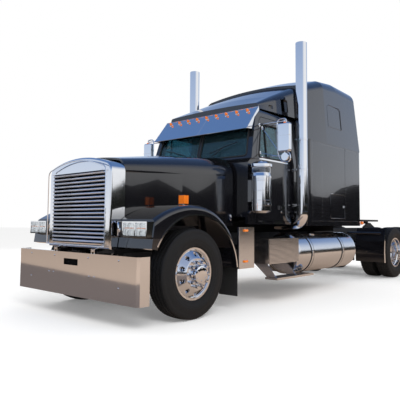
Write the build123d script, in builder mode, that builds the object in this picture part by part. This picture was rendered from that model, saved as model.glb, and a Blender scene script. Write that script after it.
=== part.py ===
"""A long-nose road tractor with a raised-roof sleeper, as an assembly of separate pieces.

Millimetres. +X is forward, +Y is the vehicle's left and +Z is up. The origin lies on the ground
under the middle of the vehicle. Stations along the vehicle are measured from the front axle.
"""
from build123d import *
from math import hypot
import os

os.makedirs("parts", exist_ok=True)

# Overall layout
LENGTH = 9100
BUMPER_FWD = 900            # bumper face ahead of the front axle
AXLE_F = LENGTH / 2 - BUMPER_FWD
REAR_END = -LENGTH / 2
AXLE_R2 = REAR_END + 680     # last axle of the rear pair
AXLE_R1 = AXLE_R2 + 1320
REAR_1 = AXLE_R1 - AXLE_F    # its station, as for the sizes that follow it
FIT = 0.3                   # gap where two pieces meet with a moving or curved fit
RUN = 8                     # running clearance round moving panels

# Tyres and wheels
TYRE_R = 527
TYRE_HALF = 139.5           # half of the section width
BEAD_R = 290
FLANGE_R = 303
RIM_HALF = 104
RIM_WALL = 9
DISC_OUT = 168              # mounting face from the middle of the rim
DISC_T = 22
BORE_R = 110
STUD_R = 142.875            # ten studs on a 285.75 circle
NUT_R = 19
NUTS = 10
HAND_HOLE_R = 28
HAND_HOLE_AT = 226
DRUM_R = 207
SPINDLE_R = 44
TRACK_F = 1035              # middle of a front tyre
DUAL_OUT = 1080             # middle of an outer rear tyre
DUAL_IN = DUAL_OUT - 2 * DISC_OUT

# Frame and axles
RAIL_OUT = 432
RAIL_H = 270
RAIL_W = 89
RAIL_T = 8
RAIL_TOP = 1020
RAIL_BOT = RAIL_TOP - RAIL_H
RAIL_FRONT = 600
KING_Y = 875
KING_R = 22
BEAM_Z = 455                # middle of the front axle beam
ARM = 200                   # steering arm length behind the kingpin
TIE_Z = 395
SPRING_Y = RAIL_OUT - 42
TUBE_R = 72                 # rear axle housing

# Hood, grille and fenders
HOOD_REAR = -1150
HOOD_FRONT = 620
HOOD_T = 20
HINGE_X = 850               # hood hinge, ahead of the front axle
HINGE_Z = 792
GRILLE_FRONT = 820
GRILLE_HALF = 635
GRILLE_BOT = 812
GRILLE_CROWN = 108          # fall of the crown at its sides
GRILLE_TOP = 1885
GRILLE_LIP = 105
GRILLE_WALL = 15
OPEN_BOT = 870
OPEN_TOP = 1705
SLATS = 18
FENDER_OUT = 1205
FENDER_T = 22
FENDER_FOOT = (-768, 545)   # station and height of the lowest rear corner
FENDER_SWEEP = hypot(HINGE_X - FENDER_FOOT[0], HINGE_Z - FENDER_FOOT[1])

# Bumper
BUMPER_HALF = 1215
BUMPER_BOT = 255
BUMPER_TOP = 760
BUMPER_T = 8
BUMPER_RETURN = 158

# Cab
CAB_HALF = 1025
CAB_T = 45
COWL = -1200
CAB_REAR = -2660
CAB_BOT = 1100
FLOOR_Z = 1240
BELT_Z = 2030
CAB_ROOF = 2800
DOOR_FRONT = -1420
DOOR_REAR = -2290
DOOR_BOT = 1150
DOOR_TOP = 2660
DOOR_T = 45
CAB_LEAN = 65               # the sides lean in by this much above the belt
LEAN_TOP = CAB_ROOF - 90
DOOR_PIN_X = DOOR_FRONT + 4
DOOR_PIN_Y = CAB_HALF + 16
HINGE_HEIGHTS = (1400, 1850)

# Sleeper and roof
SLEEPER_HALF = 1144
SLEEPER_FRONT = -2660
SLEEPER_REAR = REAR_1 + 1600
SLEEPER_BOT = 1080
SEAM_Z = 2470

# Running gear beside the frame
STACK_X = -2440
STACK_Y = CAB_HALF + 122
STACK_R = 89
STACK_TOP = 3965
TANK_R = 311
TANK_Y = 909
TANK_Z = 655
TANK_FRONT = -2240
TANK_REAR = REAR_1 + 1980
STRAP_SHARES = (0.2, 0.727)     # strap places along the tank
BOX_FRONT = -1420
BOX_REAR = -2210
BOX_TOP = 900
BOX_BOT = 556
BOX_OUT = 1220
BOX_IN = RAIL_OUT + 30
CLEANER_X = -1300
CLEANER_Y = CAB_HALF + 155
CLEANER_R = 133


def at(ahead):
    """The x of a station that lies this far ahead of the front axle."""
    return AXLE_F + ahead


def keep(piece, name):
    """Labels a finished piece and writes it as the node of that name."""
    piece.label = name
    export_step(piece, f"parts/{name}.step")


def side_plane(y):
    """An upright plane at this y that faces -Y. Its x is the vehicle's x and its y is up."""
    return Plane(origin=(0, y, 0), x_dir=(1, 0, 0), z_dir=(0, -1, 0))


def cross_plane(x):
    """A plane across the vehicle at this x, whose x is the vehicle's y and whose y is up."""
    return Plane(origin=(x, 0, 0), x_dir=(0, 1, 0), z_dir=(1, 0, 0))


# Wheels

def make_tyre(name, x, middles):
    """Tyres of one wheel body, each a ring about the axle."""
    with BuildPart() as tyre:
        for y in middles:
            with BuildSketch(Plane(origin=(x, y, TYRE_R), x_dir=(0, 1, 0), z_dir=(1, 0, 0))):
                with BuildLine():
                    shoulder, side = (108, TYRE_R - 8), (128, TYRE_R - 36)
                    foot = (RIM_HALF + 10, FLANGE_R + 6)
                    ThreePointArc((-shoulder[0], shoulder[1]), (0, TYRE_R), shoulder)
                    Line(shoulder, side)
                    ThreePointArc(side, (TYRE_HALF, 405), foot)
                    lip, bead = (RIM_HALF - 3, FLANGE_R + 4), (RIM_HALF - 4.5, BEAD_R + FIT)
                    Polyline(foot, lip, bead, (-bead[0], bead[1]), (-lip[0], lip[1]), (-foot[0], foot[1]))
                    ThreePointArc((-foot[0], foot[1]), (-TYRE_HALF, 405), (-side[0], side[1]))
                    Line((-side[0], side[1]), (-shoulder[0], shoulder[1]))
                make_face()
            revolve(axis=Axis((x, 0, TYRE_R), (0, 1, 0)))
    keep(tyre.part, name)


def rim_outline(out):
    """Half section of a rim and its disc, in (across, radius); out is +1 where the disc bulges to +Y."""
    wall, inner = RIM_WALL, BEAD_R - RIM_WALL
    points = [
        (-RIM_HALF - 8, FLANGE_R), (-RIM_HALF, FLANGE_R), (-RIM_HALF + 2, BEAD_R), (-50, BEAD_R),
        (-36, BEAD_R - 18), (10, BEAD_R - 18), (24, BEAD_R), (RIM_HALF - 2, BEAD_R),
        (RIM_HALF, FLANGE_R), (RIM_HALF + 8, FLANGE_R), (RIM_HALF + 6, inner), (96, inner - 8),
        (DISC_OUT - 8, HAND_HOLE_AT - 34), (DISC_OUT, HAND_HOLE_AT - 46), (DISC_OUT, BORE_R),
        (DISC_OUT - DISC_T, BORE_R), (DISC_OUT - DISC_T, HAND_HOLE_AT - 46), (70, inner - 14),
        (20, inner - 18), (-44, inner - 18), (-58, inner), (-RIM_HALF - 6, inner),
    ]
    return [(u * out, v) for u, v in points]


def make_wheel(name, x, side, middles):
    """Rims, hub, drum and nuts of one wheel body. side is +1 on the left. middles holds one or two rims."""
    dual = len(middles) == 2
    mate = middles[0] - DISC_OUT if dual else middles[0] + DISC_OUT - DISC_T
    face = mate + DISC_T
    hub_out = face + (70 if dual else 62)
    drum_in = mate - 230
    plane = Plane(origin=(x, 0, TYRE_R), x_dir=(0, 1, 0), z_dir=(1, 0, 0))
    axle = Axis((x, 0, TYRE_R), (0, 1, 0))
    with BuildPart() as wheel:
        for i, middle in enumerate(middles):
            bulge = (-1 if i == 0 else 1) if dual else 1
            with BuildSketch(plane):
                with BuildLine():
                    Polyline(*[((middle + u) * side, v) for u, v in rim_outline(bulge)], close=True)
                make_face()
            revolve(axis=axle)
        # hub and brake drum behind the disc, with the cap in front of it
        flange_in = mate - (DISC_T if dual else 0)
        hub = [
            (flange_in, STUD_R + 24), (flange_in, BORE_R - 1), (hub_out - 14, BORE_R - 6),
            (hub_out, 74), (hub_out, 0), (hub_out - 30, 0), (hub_out - 30, SPINDLE_R + FIT),
            (drum_in + 30, SPINDLE_R + FIT), (drum_in + 30, 92), (flange_in - 40, 92),
            (flange_in - 40, DRUM_R - 12), (drum_in, DRUM_R - 12), (drum_in, DRUM_R),
            (flange_in - 18, DRUM_R), (flange_in - 18, STUD_R + 24),
        ]
        with BuildSketch(plane):
            with BuildLine():
                Polyline(*[(u * side, v) for u, v in hub], close=True)
            make_face()
        revolve(axis=axle)
        # studs and nuts tie the discs to the hub
        with BuildSketch(Plane(origin=(x, (face + 40) * side, TYRE_R), x_dir=(1, 0, 0), z_dir=(0, -side, 0))):
            with PolarLocations(STUD_R, NUTS):
                RegularPolygon(NUT_R, 6)
        extrude(amount=face + 40 - (flange_in - 6))
        with BuildSketch(Plane(origin=(x, (face + 60) * side, TYRE_R), x_dir=(1, 0, 0), z_dir=(0, -side, 0))):
            with PolarLocations(HAND_HOLE_AT, NUTS, start_angle=18):
                Circle(HAND_HOLE_R)
        extrude(amount=120 if not dual else 0.1, mode=Mode.SUBTRACT)
        if dual:
            with BuildSketch(Plane(origin=(x, (mate + 100) * side, TYRE_R), x_dir=(1, 0, 0), z_dir=(0, -side, 0))):
                with PolarLocations(HAND_HOLE_AT, NUTS, start_angle=18):
                    Circle(HAND_HOLE_R)
            extrude(amount=200, mode=Mode.SUBTRACT)
    keep(wheel.part, name)


for side, tag in ((1, "left"), (-1, "right")):
    make_tyre(f"tyre_front_{tag}", at(0), [TRACK_F * side])
    make_wheel(f"wheel_front_{tag}", at(0), side, [TRACK_F])
    for number, x in ((1, AXLE_R1), (2, AXLE_R2)):
        make_tyre(f"tyres_rear_{number}_{tag}", x, [DUAL_OUT * side, DUAL_IN * side])
        make_wheel(f"wheels_rear_{number}_{tag}", x, side, [DUAL_OUT, DUAL_IN])


# Front axle, knuckles and steering

BOSS_R, BOSS_HALF = 46, 75
KING_Z = TYRE_R - 7
with BuildPart() as front_axle:
    with BuildSketch(cross_plane(at(-50))):
        with BuildLine():
            Polyline((-KING_Y, KING_Z + 45), (-KING_Y, KING_Z - 50), (-640, BEAM_Z - 55), (-540, BEAM_Z - 75),
                     (540, BEAM_Z - 75), (640, BEAM_Z - 55), (KING_Y, KING_Z - 50), (KING_Y, KING_Z + 45),
                     (620, BEAM_Z + 50), (520, BEAM_Z + 30), (-520, BEAM_Z + 30), (-620, BEAM_Z + 50), close=True)
        make_face()
    extrude(amount=100)
    # I-section pockets in the front and back faces
    for plane in (Plane(origin=(at(50), 0, 0), x_dir=(0, 1, 0), z_dir=(1, 0, 0)),
                  Plane(origin=(at(-50), 0, 0), x_dir=(0, -1, 0), z_dir=(-1, 0, 0))):
        with BuildSketch(plane):
            with Locations((0, BEAM_Z - 22)):
                Rectangle(960, 65)
        extrude(amount=-38, mode=Mode.SUBTRACT)
    for s in (-1, 1):
        with Locations((at(0), s * KING_Y, KING_Z)):
            Cylinder(BOSS_R, 2 * BOSS_HALF)
        with Locations((at(0), s * KING_Y, KING_Z)):
            Cylinder(KING_R + 0.1, 2 * BOSS_HALF + 20, mode=Mode.SUBTRACT)
        with Locations((at(0), s * SPRING_Y, BEAM_Z + 36)):
            Box(150, 100, 30)
keep(front_axle.part, "front_axle")

with BuildPart() as knuckle:
    ear = 26
    for z in (KING_Z + BOSS_HALF + FIT * 10 + ear / 2, KING_Z - BOSS_HALF - FIT * 10 - ear / 2):
        with Locations((at(0), KING_Y + 18, z)):
            Box(104, 128, ear)
    with Locations((at(0), KING_Y + 66, KING_Z)):
        Box(104, 32, 2 * BOSS_HALF + 60)
    with Locations((at(0), KING_Y, KING_Z)):
        Cylinder(KING_R, 2 * BOSS_HALF + 2 * ear + 10)
    spindle_end = TRACK_F + DISC_OUT - DISC_T + 40
    with BuildSketch(Plane(origin=(at(0), KING_Y + 60, TYRE_R), x_dir=(1, 0, 0), z_dir=(0, 1, 0))):
        Circle(SPINDLE_R)
    extrude(amount=spindle_end - KING_Y - 60)
    # steering arm, from the lower ear back to the tie rod ball
    arm_z = KING_Z - BOSS_HALF - FIT * 10 - ear
    with BuildSketch(Plane.XY.offset(arm_z)):
        with BuildLine():
            Polyline((at(-40), KING_Y - 30), (at(-ARM), KING_Y - 24), (at(-ARM), KING_Y + 24),
                     (at(-40), KING_Y + 40), close=True)
        make_face()
        with Locations((at(-ARM), KING_Y)):
            Circle(26)
            Circle(8 + FIT, mode=Mode.SUBTRACT)
    extrude(amount=24)
keep(knuckle.part, "knuckle_left")
keep(mirror(knuckle.part, about=Plane.XZ), "knuckle_right")

with BuildPart() as tie_rod:
    rod_z = arm_z - 27
    with BuildSketch(Plane(origin=(at(-ARM), KING_Y, rod_z), x_dir=(1, 0, 0), z_dir=(0, -1, 0))):
        Circle(17)
    extrude(amount=2 * KING_Y)
    for s in (-1, 1):
        with Locations((at(-ARM), s * KING_Y, rod_z)):
            Cylinder(28, 44)
        with Locations((at(-ARM), s * KING_Y, arm_z)):
            Cylinder(8, 40)
keep(tie_rod.part, "tie_rod")


# Frame, engine and drive line

with BuildPart() as rails:
    for s in (1, -1):
        with BuildSketch(cross_plane(REAR_END)):
            with BuildLine():
                o, i, t = RAIL_OUT * s, (RAIL_OUT - RAIL_W) * s, RAIL_T
                Polyline((o, RAIL_TOP), (o, RAIL_BOT), (i, RAIL_BOT), (i, RAIL_BOT + t), (o - t * s, RAIL_BOT + t),
                         (o - t * s, RAIL_TOP - t), (i, RAIL_TOP - t), (i, RAIL_TOP), close=True)
            make_face()
        extrude(amount=at(RAIL_FRONT) - REAR_END)
keep(rails.part, "frame_rails")

WEB_IN = RAIL_OUT - RAIL_T
CROSSMEMBERS = (  # x, length, bottom, top
    (at(575), 40, 790, 980),
    (at(-2900), 120, 945, 1008),
    (at(-4300), 120, 945, 1008),
    (AXLE_R1 + 700, 120, 945, 1008),
    ((AXLE_R1 + AXLE_R2) / 2, 120, 900, 1008),
    (REAR_END + 80, 100, 780, 1000),
)
with BuildPart() as cross:
    for x, length, bottom, top in CROSSMEMBERS:
        with Locations((x, 0, (bottom + top) / 2)):
            Box(length, 2 * WEB_IN, top - bottom)
            Box(length - 16, 2 * WEB_IN - 40, top - bottom - 16, mode=Mode.SUBTRACT)
keep(cross.part, "crossmembers")

ENGINE_HALF = RAIL_OUT - RAIL_W - 8
with BuildPart() as engine:
    with BuildSketch(side_plane(-ENGINE_HALF)):
        with BuildLine():
            Polyline((at(420), 760), (at(420), 1520), (at(-760), 1560), (at(-900), 1230), (at(-1180), 1180),
                     (at(-2100), 1080), (at(-2100), 860), (at(-1100), 760), (at(-700), 640), (at(250), 640), close=True)
        make_face()
    extrude(amount=-2 * ENGINE_HALF)
    # mounts to the frame
    for station in (100, -1300):
        with Locations((at(station), 0, 890)):
            Box(120, 2 * WEB_IN, 60)
keep(engine.part, "engine")

DIFF_Z = TYRE_R + 20
with BuildPart() as shaft:
    for x0, x1, z0, z1 in ((at(-2100), AXLE_R1 + 320, 930, DIFF_Z + 60), (AXLE_R1 - 260, AXLE_R2 + 320, DIFF_Z + 80, DIFF_Z + 60)):
        a, b = Vector(x0 + 20, 0, z0), Vector(x1 - 20, 0, z1)
        with BuildSketch(Plane(origin=a, z_dir=b - a)):
            Circle(55)
        extrude(amount=(b - a).length)
        for end, middle in ((x0, x0 + 100), (x1, x1 - 100)):
            with Locations((middle, 0, z0 if end == x0 else z1)):
                Box(200, 200, 200, mode=Mode.SUBTRACT)
keep(shaft.part, "driveshafts")

with BuildPart() as rear_axles:
    for x in (AXLE_R1, AXLE_R2):
        with BuildSketch(cross_plane(x)):
            with BuildLine():
                flange_in = DUAL_OUT - DISC_OUT - DISC_T
                half = [(0, 235), (70, 232), (150, 190), (240, TUBE_R), (560, TUBE_R), (640, TUBE_R),
                        (641, 100), (660, 100), (661, SPINDLE_R), (flange_in + 60, SPINDLE_R)]
                outline = [(-u, TYRE_R + v) for u, v in reversed(half[1:])] + [(u, TYRE_R + v) for u, v in half]
                Polyline(*outline, (flange_in + 60, TYRE_R), (-flange_in - 60, TYRE_R), close=True)
            make_face()
        revolve(axis=Axis((x, 0, TYRE_R), (0, 1, 0)))
        with BuildSketch(Plane(origin=(x, 0, DIFF_Z + 60), x_dir=(0, 1, 0), z_dir=(1, 0, 0))):
            Circle(120)
        extrude(amount=320, taper=8)
        for s in (-1, 1):
            with Locations((x, s * (RAIL_OUT - 40), TYRE_R + TUBE_R - 2)):
                Box(180, 90, 16)
    with BuildSketch(Plane(origin=(AXLE_R1 - 160, 0, DIFF_Z + 80), x_dir=(0, 1, 0), z_dir=(-1, 0, 0))):
        Circle(75)
    extrude(amount=100)
keep(rear_axles.part, "rear_axles")

with BuildPart() as springs:
    for s in (1, -1):
        # front leaf pack between two hangers
        with BuildSketch(side_plane(SPRING_Y * s - 38)):
            with BuildLine():
                low = BEAM_Z + 51
                ThreePointArc((at(520), 690), (at(-90), low + 34), (at(-700), 690))
                Line((at(-700), 690), (at(-700), 668))
                ThreePointArc((at(-700), 668), (at(-90), low), (at(520), 668))
                Line((at(520), 668), (at(520), 690))
            make_face()
        extrude(amount=-76)
        for station in (490, -670):
            with Locations((at(station), SPRING_Y * s, 710)):
                Box(60, 84, 80)
        # trailing arm and air spring on each rear axle
        for x in (AXLE_R1, AXLE_R2):
            with BuildSketch(side_plane(RAIL_OUT * s - 40 * s - 35)):
                with BuildLine():
                    Polyline((x + 560, 740), (x + 470, 740), (x + 120, 647), (x - 90, 647), (x - 330, 510),
                             (x - 430, 510), (x - 430, 470), (x - 300, 470), (x - 90, TYRE_R + TUBE_R + 6),
                             (x + 120, TYRE_R + TUBE_R + 6), (x + 480, 650), (x + 560, 650), close=True)
                make_face()
            extrude(amount=-70)
            with Locations((x - 370, (RAIL_OUT - 40) * s, (RAIL_BOT + 510) / 2)):
                Cylinder(115, RAIL_BOT - 510)
keep(springs.part, "suspension")


# Bumper

with BuildPart() as bumper:
    back = BUMPER_FWD - BUMPER_T
    with BuildSketch(Plane.XY.offset(BUMPER_BOT)):
        with BuildLine():
            h, f, r, c = BUMPER_HALF, at(BUMPER_FWD), at(BUMPER_FWD - BUMPER_RETURN), 26
            Polyline((r, -h), (f - c, -h), (f, -h + c), (f, h - c), (f - c, h), (r, h),
                     (r, h - BUMPER_T), (f - c - 3, h - BUMPER_T), (f - BUMPER_T, h - c - 3),
                     (f - BUMPER_T, -h + c + 3), (f - c - 3, -h + BUMPER_T), (r, -h + BUMPER_T), close=True)
        make_face()
    extrude(amount=BUMPER_TOP - BUMPER_BOT)
    for z in (BUMPER_TOP - BUMPER_T, BUMPER_BOT):
        with Locations((at(back - 22), 0, z + BUMPER_T / 2)):
            Box(44 + 2, 2 * BUMPER_HALF - 60, BUMPER_T)
    # window for the towing pin
    with Locations((at(BUMPER_FWD), 0, 647)):
        Box(60, 290, 74, mode=Mode.SUBTRACT)
    # brackets under the frame ends
    for s in (-1, 1):
        with Locations((at((RAIL_FRONT + back) / 2), s * (RAIL_OUT - 45), 675)):
            Box(back - RAIL_FRONT, 70, 150)
        with Locations((at(RAIL_FRONT - 30), s * (RAIL_OUT - 45), 715)):
            Box(62, 70, 70)
    # ears and pins of the hood hinge
    for s in (-1, 1):
        for y in (-1, 1):
            with Locations((at(HINGE_X), s * (RAIL_OUT - 45) + y * 28, 779)):
                Box(32, 14, 60)
        with Locations((at(HINGE_X), s * (RAIL_OUT - 45), HINGE_Z)):
            Cylinder(10, 70, rotation=(90, 0, 0))
keep(bumper.part, "bumper")


# Radiator

with BuildPart() as radiator:
    with Locations((at(500), 0, (RAIL_TOP + 1640) / 2)):
        Box(90, 960, 1640 - RAIL_TOP)
    with Locations((at(500), 0, (850 + RAIL_TOP) / 2)):
        Box(90, 2 * ENGINE_HALF, RAIL_TOP - 850)
    with Locations((at(500), 0, 1665)):
        Box(110, 900, 50)
keep(radiator.part, "radiator")


# Hood, grille and fenders, which tilt together

HOOD_SECTIONS = (  # station, side half width, crease height, crown half width, crown edge height, top height
    (HOOD_FRONT, 618, 1690, 500, 1862, 1900),
    (-250, 700, 1735, 560, 1955, 2020),
    (HOOD_REAR, 800, 1795, 600, 2040, 2100),
)
HOOD_SKIRT = 1075


def hood_section(station, side, crease, crown, edge, top, inset, skirt):
    """Outer or inner outline of the hood at one station."""
    s, c = side - inset, crown - inset
    e, t, k = edge - inset, top - inset, crease - inset * 0.3
    bend = ((s + c) / 2 + 28, (k + e) / 2 + 36)
    with BuildSketch(cross_plane(at(station))) as sketch:
        with BuildLine():
            Line((s, skirt), (s, k))
            ThreePointArc((s, k), bend, (c, e))
            ThreePointArc((c, e), (0, t), (-c, e))
            ThreePointArc((-c, e), (-bend[0], bend[1]), (-s, k))
            Polyline((-s, k), (-s, skirt), (s, skirt))
        make_face()
    return sketch.sketch


with BuildPart() as hood:
    loft([hood_section(*row, 0, HOOD_SKIRT) for row in HOOD_SECTIONS], ruled=True)
    loft([hood_section(*row, HOOD_T, HOOD_SKIRT - 50) for row in HOOD_SECTIONS], ruled=True, mode=Mode.SUBTRACT)
keep(hood.part, "hood")


def grille_outline(inset, bottom):
    """Outline of the grille surround, drawn in by inset."""
    h, t = GRILLE_HALF - inset, GRILLE_TOP - inset
    edge = t - GRILLE_CROWN
    with BuildSketch(Plane.XY) as outline:
        with BuildLine():
            Polyline((-h, edge), (-h, bottom), (h, bottom), (h, edge))
            ThreePointArc((h, edge), (0, t), (-h, edge))
        make_face()
        fillet(outline.vertices().group_by(Axis.Y)[-1], 120 - inset)
    return outline.sketch


with BuildPart() as grille_shell:
    with BuildSketch(cross_plane(at(HOOD_FRONT + FIT))):
        add(grille_outline(0, GRILLE_BOT))
    extrude(amount=GRILLE_FRONT - HOOD_FRONT - FIT)
    fillet(grille_shell.faces().sort_by(Axis.X)[-1].edges(), 24)
    with BuildSketch(cross_plane(at(HOOD_FRONT - 1))):
        add(grille_outline(GRILLE_WALL, GRILLE_BOT + GRILLE_WALL))
    extrude(amount=GRILLE_FRONT - HOOD_FRONT - 29, mode=Mode.SUBTRACT)
    with BuildSketch(cross_plane(at(HOOD_FRONT))):
        with Locations((0, (OPEN_BOT + OPEN_TOP) / 2)):
            Rectangle(2 * (GRILLE_HALF - GRILLE_LIP), OPEN_TOP - OPEN_BOT)
    extrude(amount=400, mode=Mode.SUBTRACT)
    # hinge lugs under the shell
    for s in (-1, 1):
        with BuildSketch(side_plane(s * (RAIL_OUT - 45) + 15)):
            with BuildLine():
                Polyline((at(700), 822), (at(800), 822), (at(840), 808), (at(866), 804), (at(866), 776), (at(838), 776),
                         (at(700), 800), close=True)
            make_face()
            with Locations((at(HINGE_X), HINGE_Z)):
                Circle(10 + FIT, mode=Mode.SUBTRACT)
        extrude(amount=30)
keep(grille_shell.part, "grille_shell")

LOUVRE_HALF = GRILLE_HALF - GRILLE_WALL - 20
with BuildPart() as louvres:
    pitch = (OPEN_TOP - OPEN_BOT) / SLATS
    for n in range(SLATS):
        z = OPEN_BOT + pitch * (n + 0.5)
        with BuildSketch(side_plane(LOUVRE_HALF)):
            with BuildLine():
                x0, x1 = at(GRILLE_FRONT - 32), at(GRILLE_FRONT - 72)
                Polyline((x0, z - 13), (x0, z + 1), (x1, z + 16), (x1, z + 12), (x0 - 5, z - 3), (x0 - 5, z - 13), close=True)
            make_face()
        extrude(amount=2 * LOUVRE_HALF)
    for y, deep, front in ((-LOUVRE_HALF + 14, 60, 30), (-190, 24, 66), (190, 24, 66), (LOUVRE_HALF - 14, 60, 30)):
        with Locations((at(GRILLE_FRONT - front - deep / 2), y, (OPEN_BOT + OPEN_TOP) / 2)):
            Box(deep, 28, OPEN_TOP - OPEN_BOT + 40)
keep(louvres.part, "grille_louvres")


def crown_outline(inset):
    """Side outline of a fender, drawn in by inset."""
    i = inset
    rear_foot = (at(FENDER_FOOT[0] + i), FENDER_FOOT[1])
    rear_knee, front_knee = (at(i - 738), 800), (at(665 - i), 1150 - i)
    with BuildSketch(Plane.XY) as outline:
        with BuildLine():
            Line(rear_foot, rear_knee)
            ThreePointArc(rear_knee, (at(-525 + i * 0.8), 1110 - i * 0.6), (at(-30), 1318 - i))
            ThreePointArc((at(-30), 1318 - i), (at(330), 1288 - i), front_knee)
            Polyline(front_knee, (at(712 - i), 838), rear_foot)
        make_face()
    return outline.sketch


with BuildPart() as fender:
    with BuildSketch(side_plane(FENDER_OUT)):
        add(crown_outline(0))
    extrude(amount=FENDER_OUT - 645)
    top_edges = fender.edges().filter_by(lambda e: e.center().Y > FENDER_OUT - 1 and (e.center().Z > 900 or e.center().X < at(-650)))
    fillet(top_edges.filter_by(lambda e: e.center().X < at(650)), 60)
    # hollow underneath, leaving the skin and the outer flare
    with BuildSketch(side_plane(FENDER_OUT - FENDER_T - 20)):
        add(crown_outline(FENDER_T))
    extrude(amount=FENDER_OUT - FENDER_T - 20 - 640, mode=Mode.SUBTRACT)
    # wheel opening
    with BuildSketch(side_plane(FENDER_OUT + 10)):
        with BuildLine():
            Polyline((at(-730), 400), (at(-730), 560))
            ThreePointArc((at(-730), 560), (at(-505), 1010), (at(-10), 1200))
            ThreePointArc((at(-10), 1200), (at(360), 1112), (at(625), 850))
            Polyline((at(625), 850), (at(665), 400), (at(-730), 400))
        make_face()
    extrude(amount=FENDER_OUT - 640 + 10, mode=Mode.SUBTRACT)
    loft([hood_section(*row, 0, HOOD_SKIRT) for row in HOOD_SECTIONS], ruled=True, mode=Mode.SUBTRACT)
    mirror(about=Plane.XZ)
keep(fender.part, "fenders")

LAMP_Z = 1042
LAMP_FRONT = 752
LAMPS_Y = (776, 930)
with BuildPart() as headlights:
    with BuildSketch(Plane.XY.offset(LAMP_Z - 84)):
        with BuildLine():
            Polyline((at(600), 652), (at(LAMP_FRONT - 10), 652), (at(LAMP_FRONT), 690), (at(LAMP_FRONT), 1015))
            ThreePointArc((at(LAMP_FRONT), 1015), (at(LAMP_FRONT - 38), 1120), (at(LAMP_FRONT - 130), 1172))
            Polyline((at(LAMP_FRONT - 130), 1172), (at(600), 1172), (at(600), 652))
        make_face()
    extrude(amount=168)
    fillet(headlights.edges().filter_by(lambda e: e.center().X > at(LAMP_FRONT - 125) and e.center().Y > 660)
           .filter_by(lambda e: abs(abs(e.center().Z - LAMP_Z) - 84) < 1), 12)
    # two lamp pockets in the front and one for the side lamp
    for y in LAMPS_Y:
        with Locations((at(LAMP_FRONT - 22), y, LAMP_Z)):
            Box(60, 138, 112, mode=Mode.SUBTRACT)
    with BuildSketch(side_plane(FENDER_OUT)):
        add(crown_outline(0))
    extrude(amount=FENDER_OUT - 600, mode=Mode.SUBTRACT)
    mirror(about=Plane.XZ)
keep(headlights.part, "headlight_bezels")

with BuildPart() as lenses:
    for y in LAMPS_Y:
        with Locations((at(LAMP_FRONT - 20), y, LAMP_Z)):
            Box(14, 138, 112)
    fillet(lenses.edges().filter_by(Axis.X), 14)
    mirror(about=Plane.XZ)
keep(lenses.part, "headlight_lenses")

with BuildPart() as turn_lamps:
    with Locations((at(45), 1010, 1300)):
        Cylinder(15, 120)
    with BuildSketch(Plane(origin=(at(45 - 24), 1010, 1384), x_dir=(0, 1, 0), z_dir=(1, 0, 0))):
        Circle(56)
    extrude(amount=48)
    fillet(turn_lamps.edges().filter_by(GeomType.CIRCLE).filter_by(lambda e: e.radius > 50), 12)
    with BuildSketch(side_plane(FENDER_OUT)):
        add(crown_outline(0))
    extrude(amount=FENDER_OUT - 600, mode=Mode.SUBTRACT)
    mirror(about=Plane.XZ)
keep(turn_lamps.part, "turn_lamps")


# Cab

def cab_side(inset):
    """Side outline of the cab, from the firewall and windscreen to the open back."""
    i = inset
    with BuildSketch(Plane.XY) as outline:
        with BuildLine():
            Polyline((at(COWL - i), CAB_BOT), (at(COWL - i), 1960 - i), (at(-1285 - i), BELT_Z - i * 0.6),
                     (at(-1455 - i), 2640 - i * 0.2), (at(-1560 - i), CAB_ROOF - 50 - i), (at(-1640 - i), CAB_ROOF - i),
                     (at(CAB_REAR), CAB_ROOF - i), (at(CAB_REAR), CAB_BOT), close=True)
        make_face()
    return outline.sketch


def cab_front(inset, bottom):
    """Front outline of the cab, which leans in above the belt line."""
    h, i = CAB_HALF, inset
    shoulder = (h - CAB_LEAN - i, LEAN_TOP - i)
    bend = (h - 95 - i, CAB_ROOF - 27 - i)
    edge = (h - 160 - i, CAB_ROOF - i)
    with BuildSketch(Plane.XY) as outline:
        with BuildLine():
            Polyline((h - i, bottom), (h - i, BELT_Z), shoulder)
            ThreePointArc(shoulder, bend, edge)
            Line(edge, (-edge[0], edge[1]))
            ThreePointArc((-edge[0], edge[1]), (-bend[0], bend[1]), (-shoulder[0], shoulder[1]))
            Polyline((-shoulder[0], shoulder[1]), (-h + i, BELT_Z), (-h + i, bottom), (h - i, bottom))
        make_face()
    return outline.sketch


def door_outline(gap):
    """Door outline in side view, grown by gap."""
    g = gap
    rear = DOOR_REAR - 1.8 * g      # the leaning edge sweeps further back as the door opens
    with BuildSketch(Plane.XY) as outline:
        with BuildLine():
            Polyline((at(DOOR_FRONT + g), DOOR_BOT - g), (at(DOOR_FRONT + g), 2120), (at(DOOR_FRONT - 120 + g), DOOR_TOP - 60),
                     (at(DOOR_FRONT - 170 + g * 0.5), DOOR_TOP + g), (at(rear + 40 + g * 0.5), DOOR_TOP + g),
                     (at(rear), DOOR_TOP - 40), (at(rear), DOOR_BOT - g), close=True)
        make_face()
    return outline.sketch


def window_outline(inset):
    """Door window outline in side view, drawn in by inset."""
    i = inset
    with BuildSketch(Plane.XY) as outline:
        with BuildLine():
            Polyline((at(DOOR_FRONT - 55 - i), 2060 + i), (at(DOOR_FRONT - 60 - i), 2130), (at(DOOR_FRONT - 165 - i), 2560 - i),
                     (at(DOOR_REAR + 75 + i), 2560 - i), (at(DOOR_REAR + 75 + i), 2060 + i), close=True)
        make_face()
    return outline.sketch


# the windscreen lies in the sloping front of the cab
WS_LOW = Vector(at(-1285), 0, BELT_Z)
WS_HIGH = Vector(at(-1455), 0, 2640)
WS_UP = (WS_HIGH - WS_LOW).normalized()
WS_OUT = Vector(0, 1, 0).cross(WS_UP)
WS_PLANE = Plane(origin=WS_LOW, x_dir=(0, 1, 0), z_dir=WS_OUT)
WS_RISE = (WS_HIGH - WS_LOW).length


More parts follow.
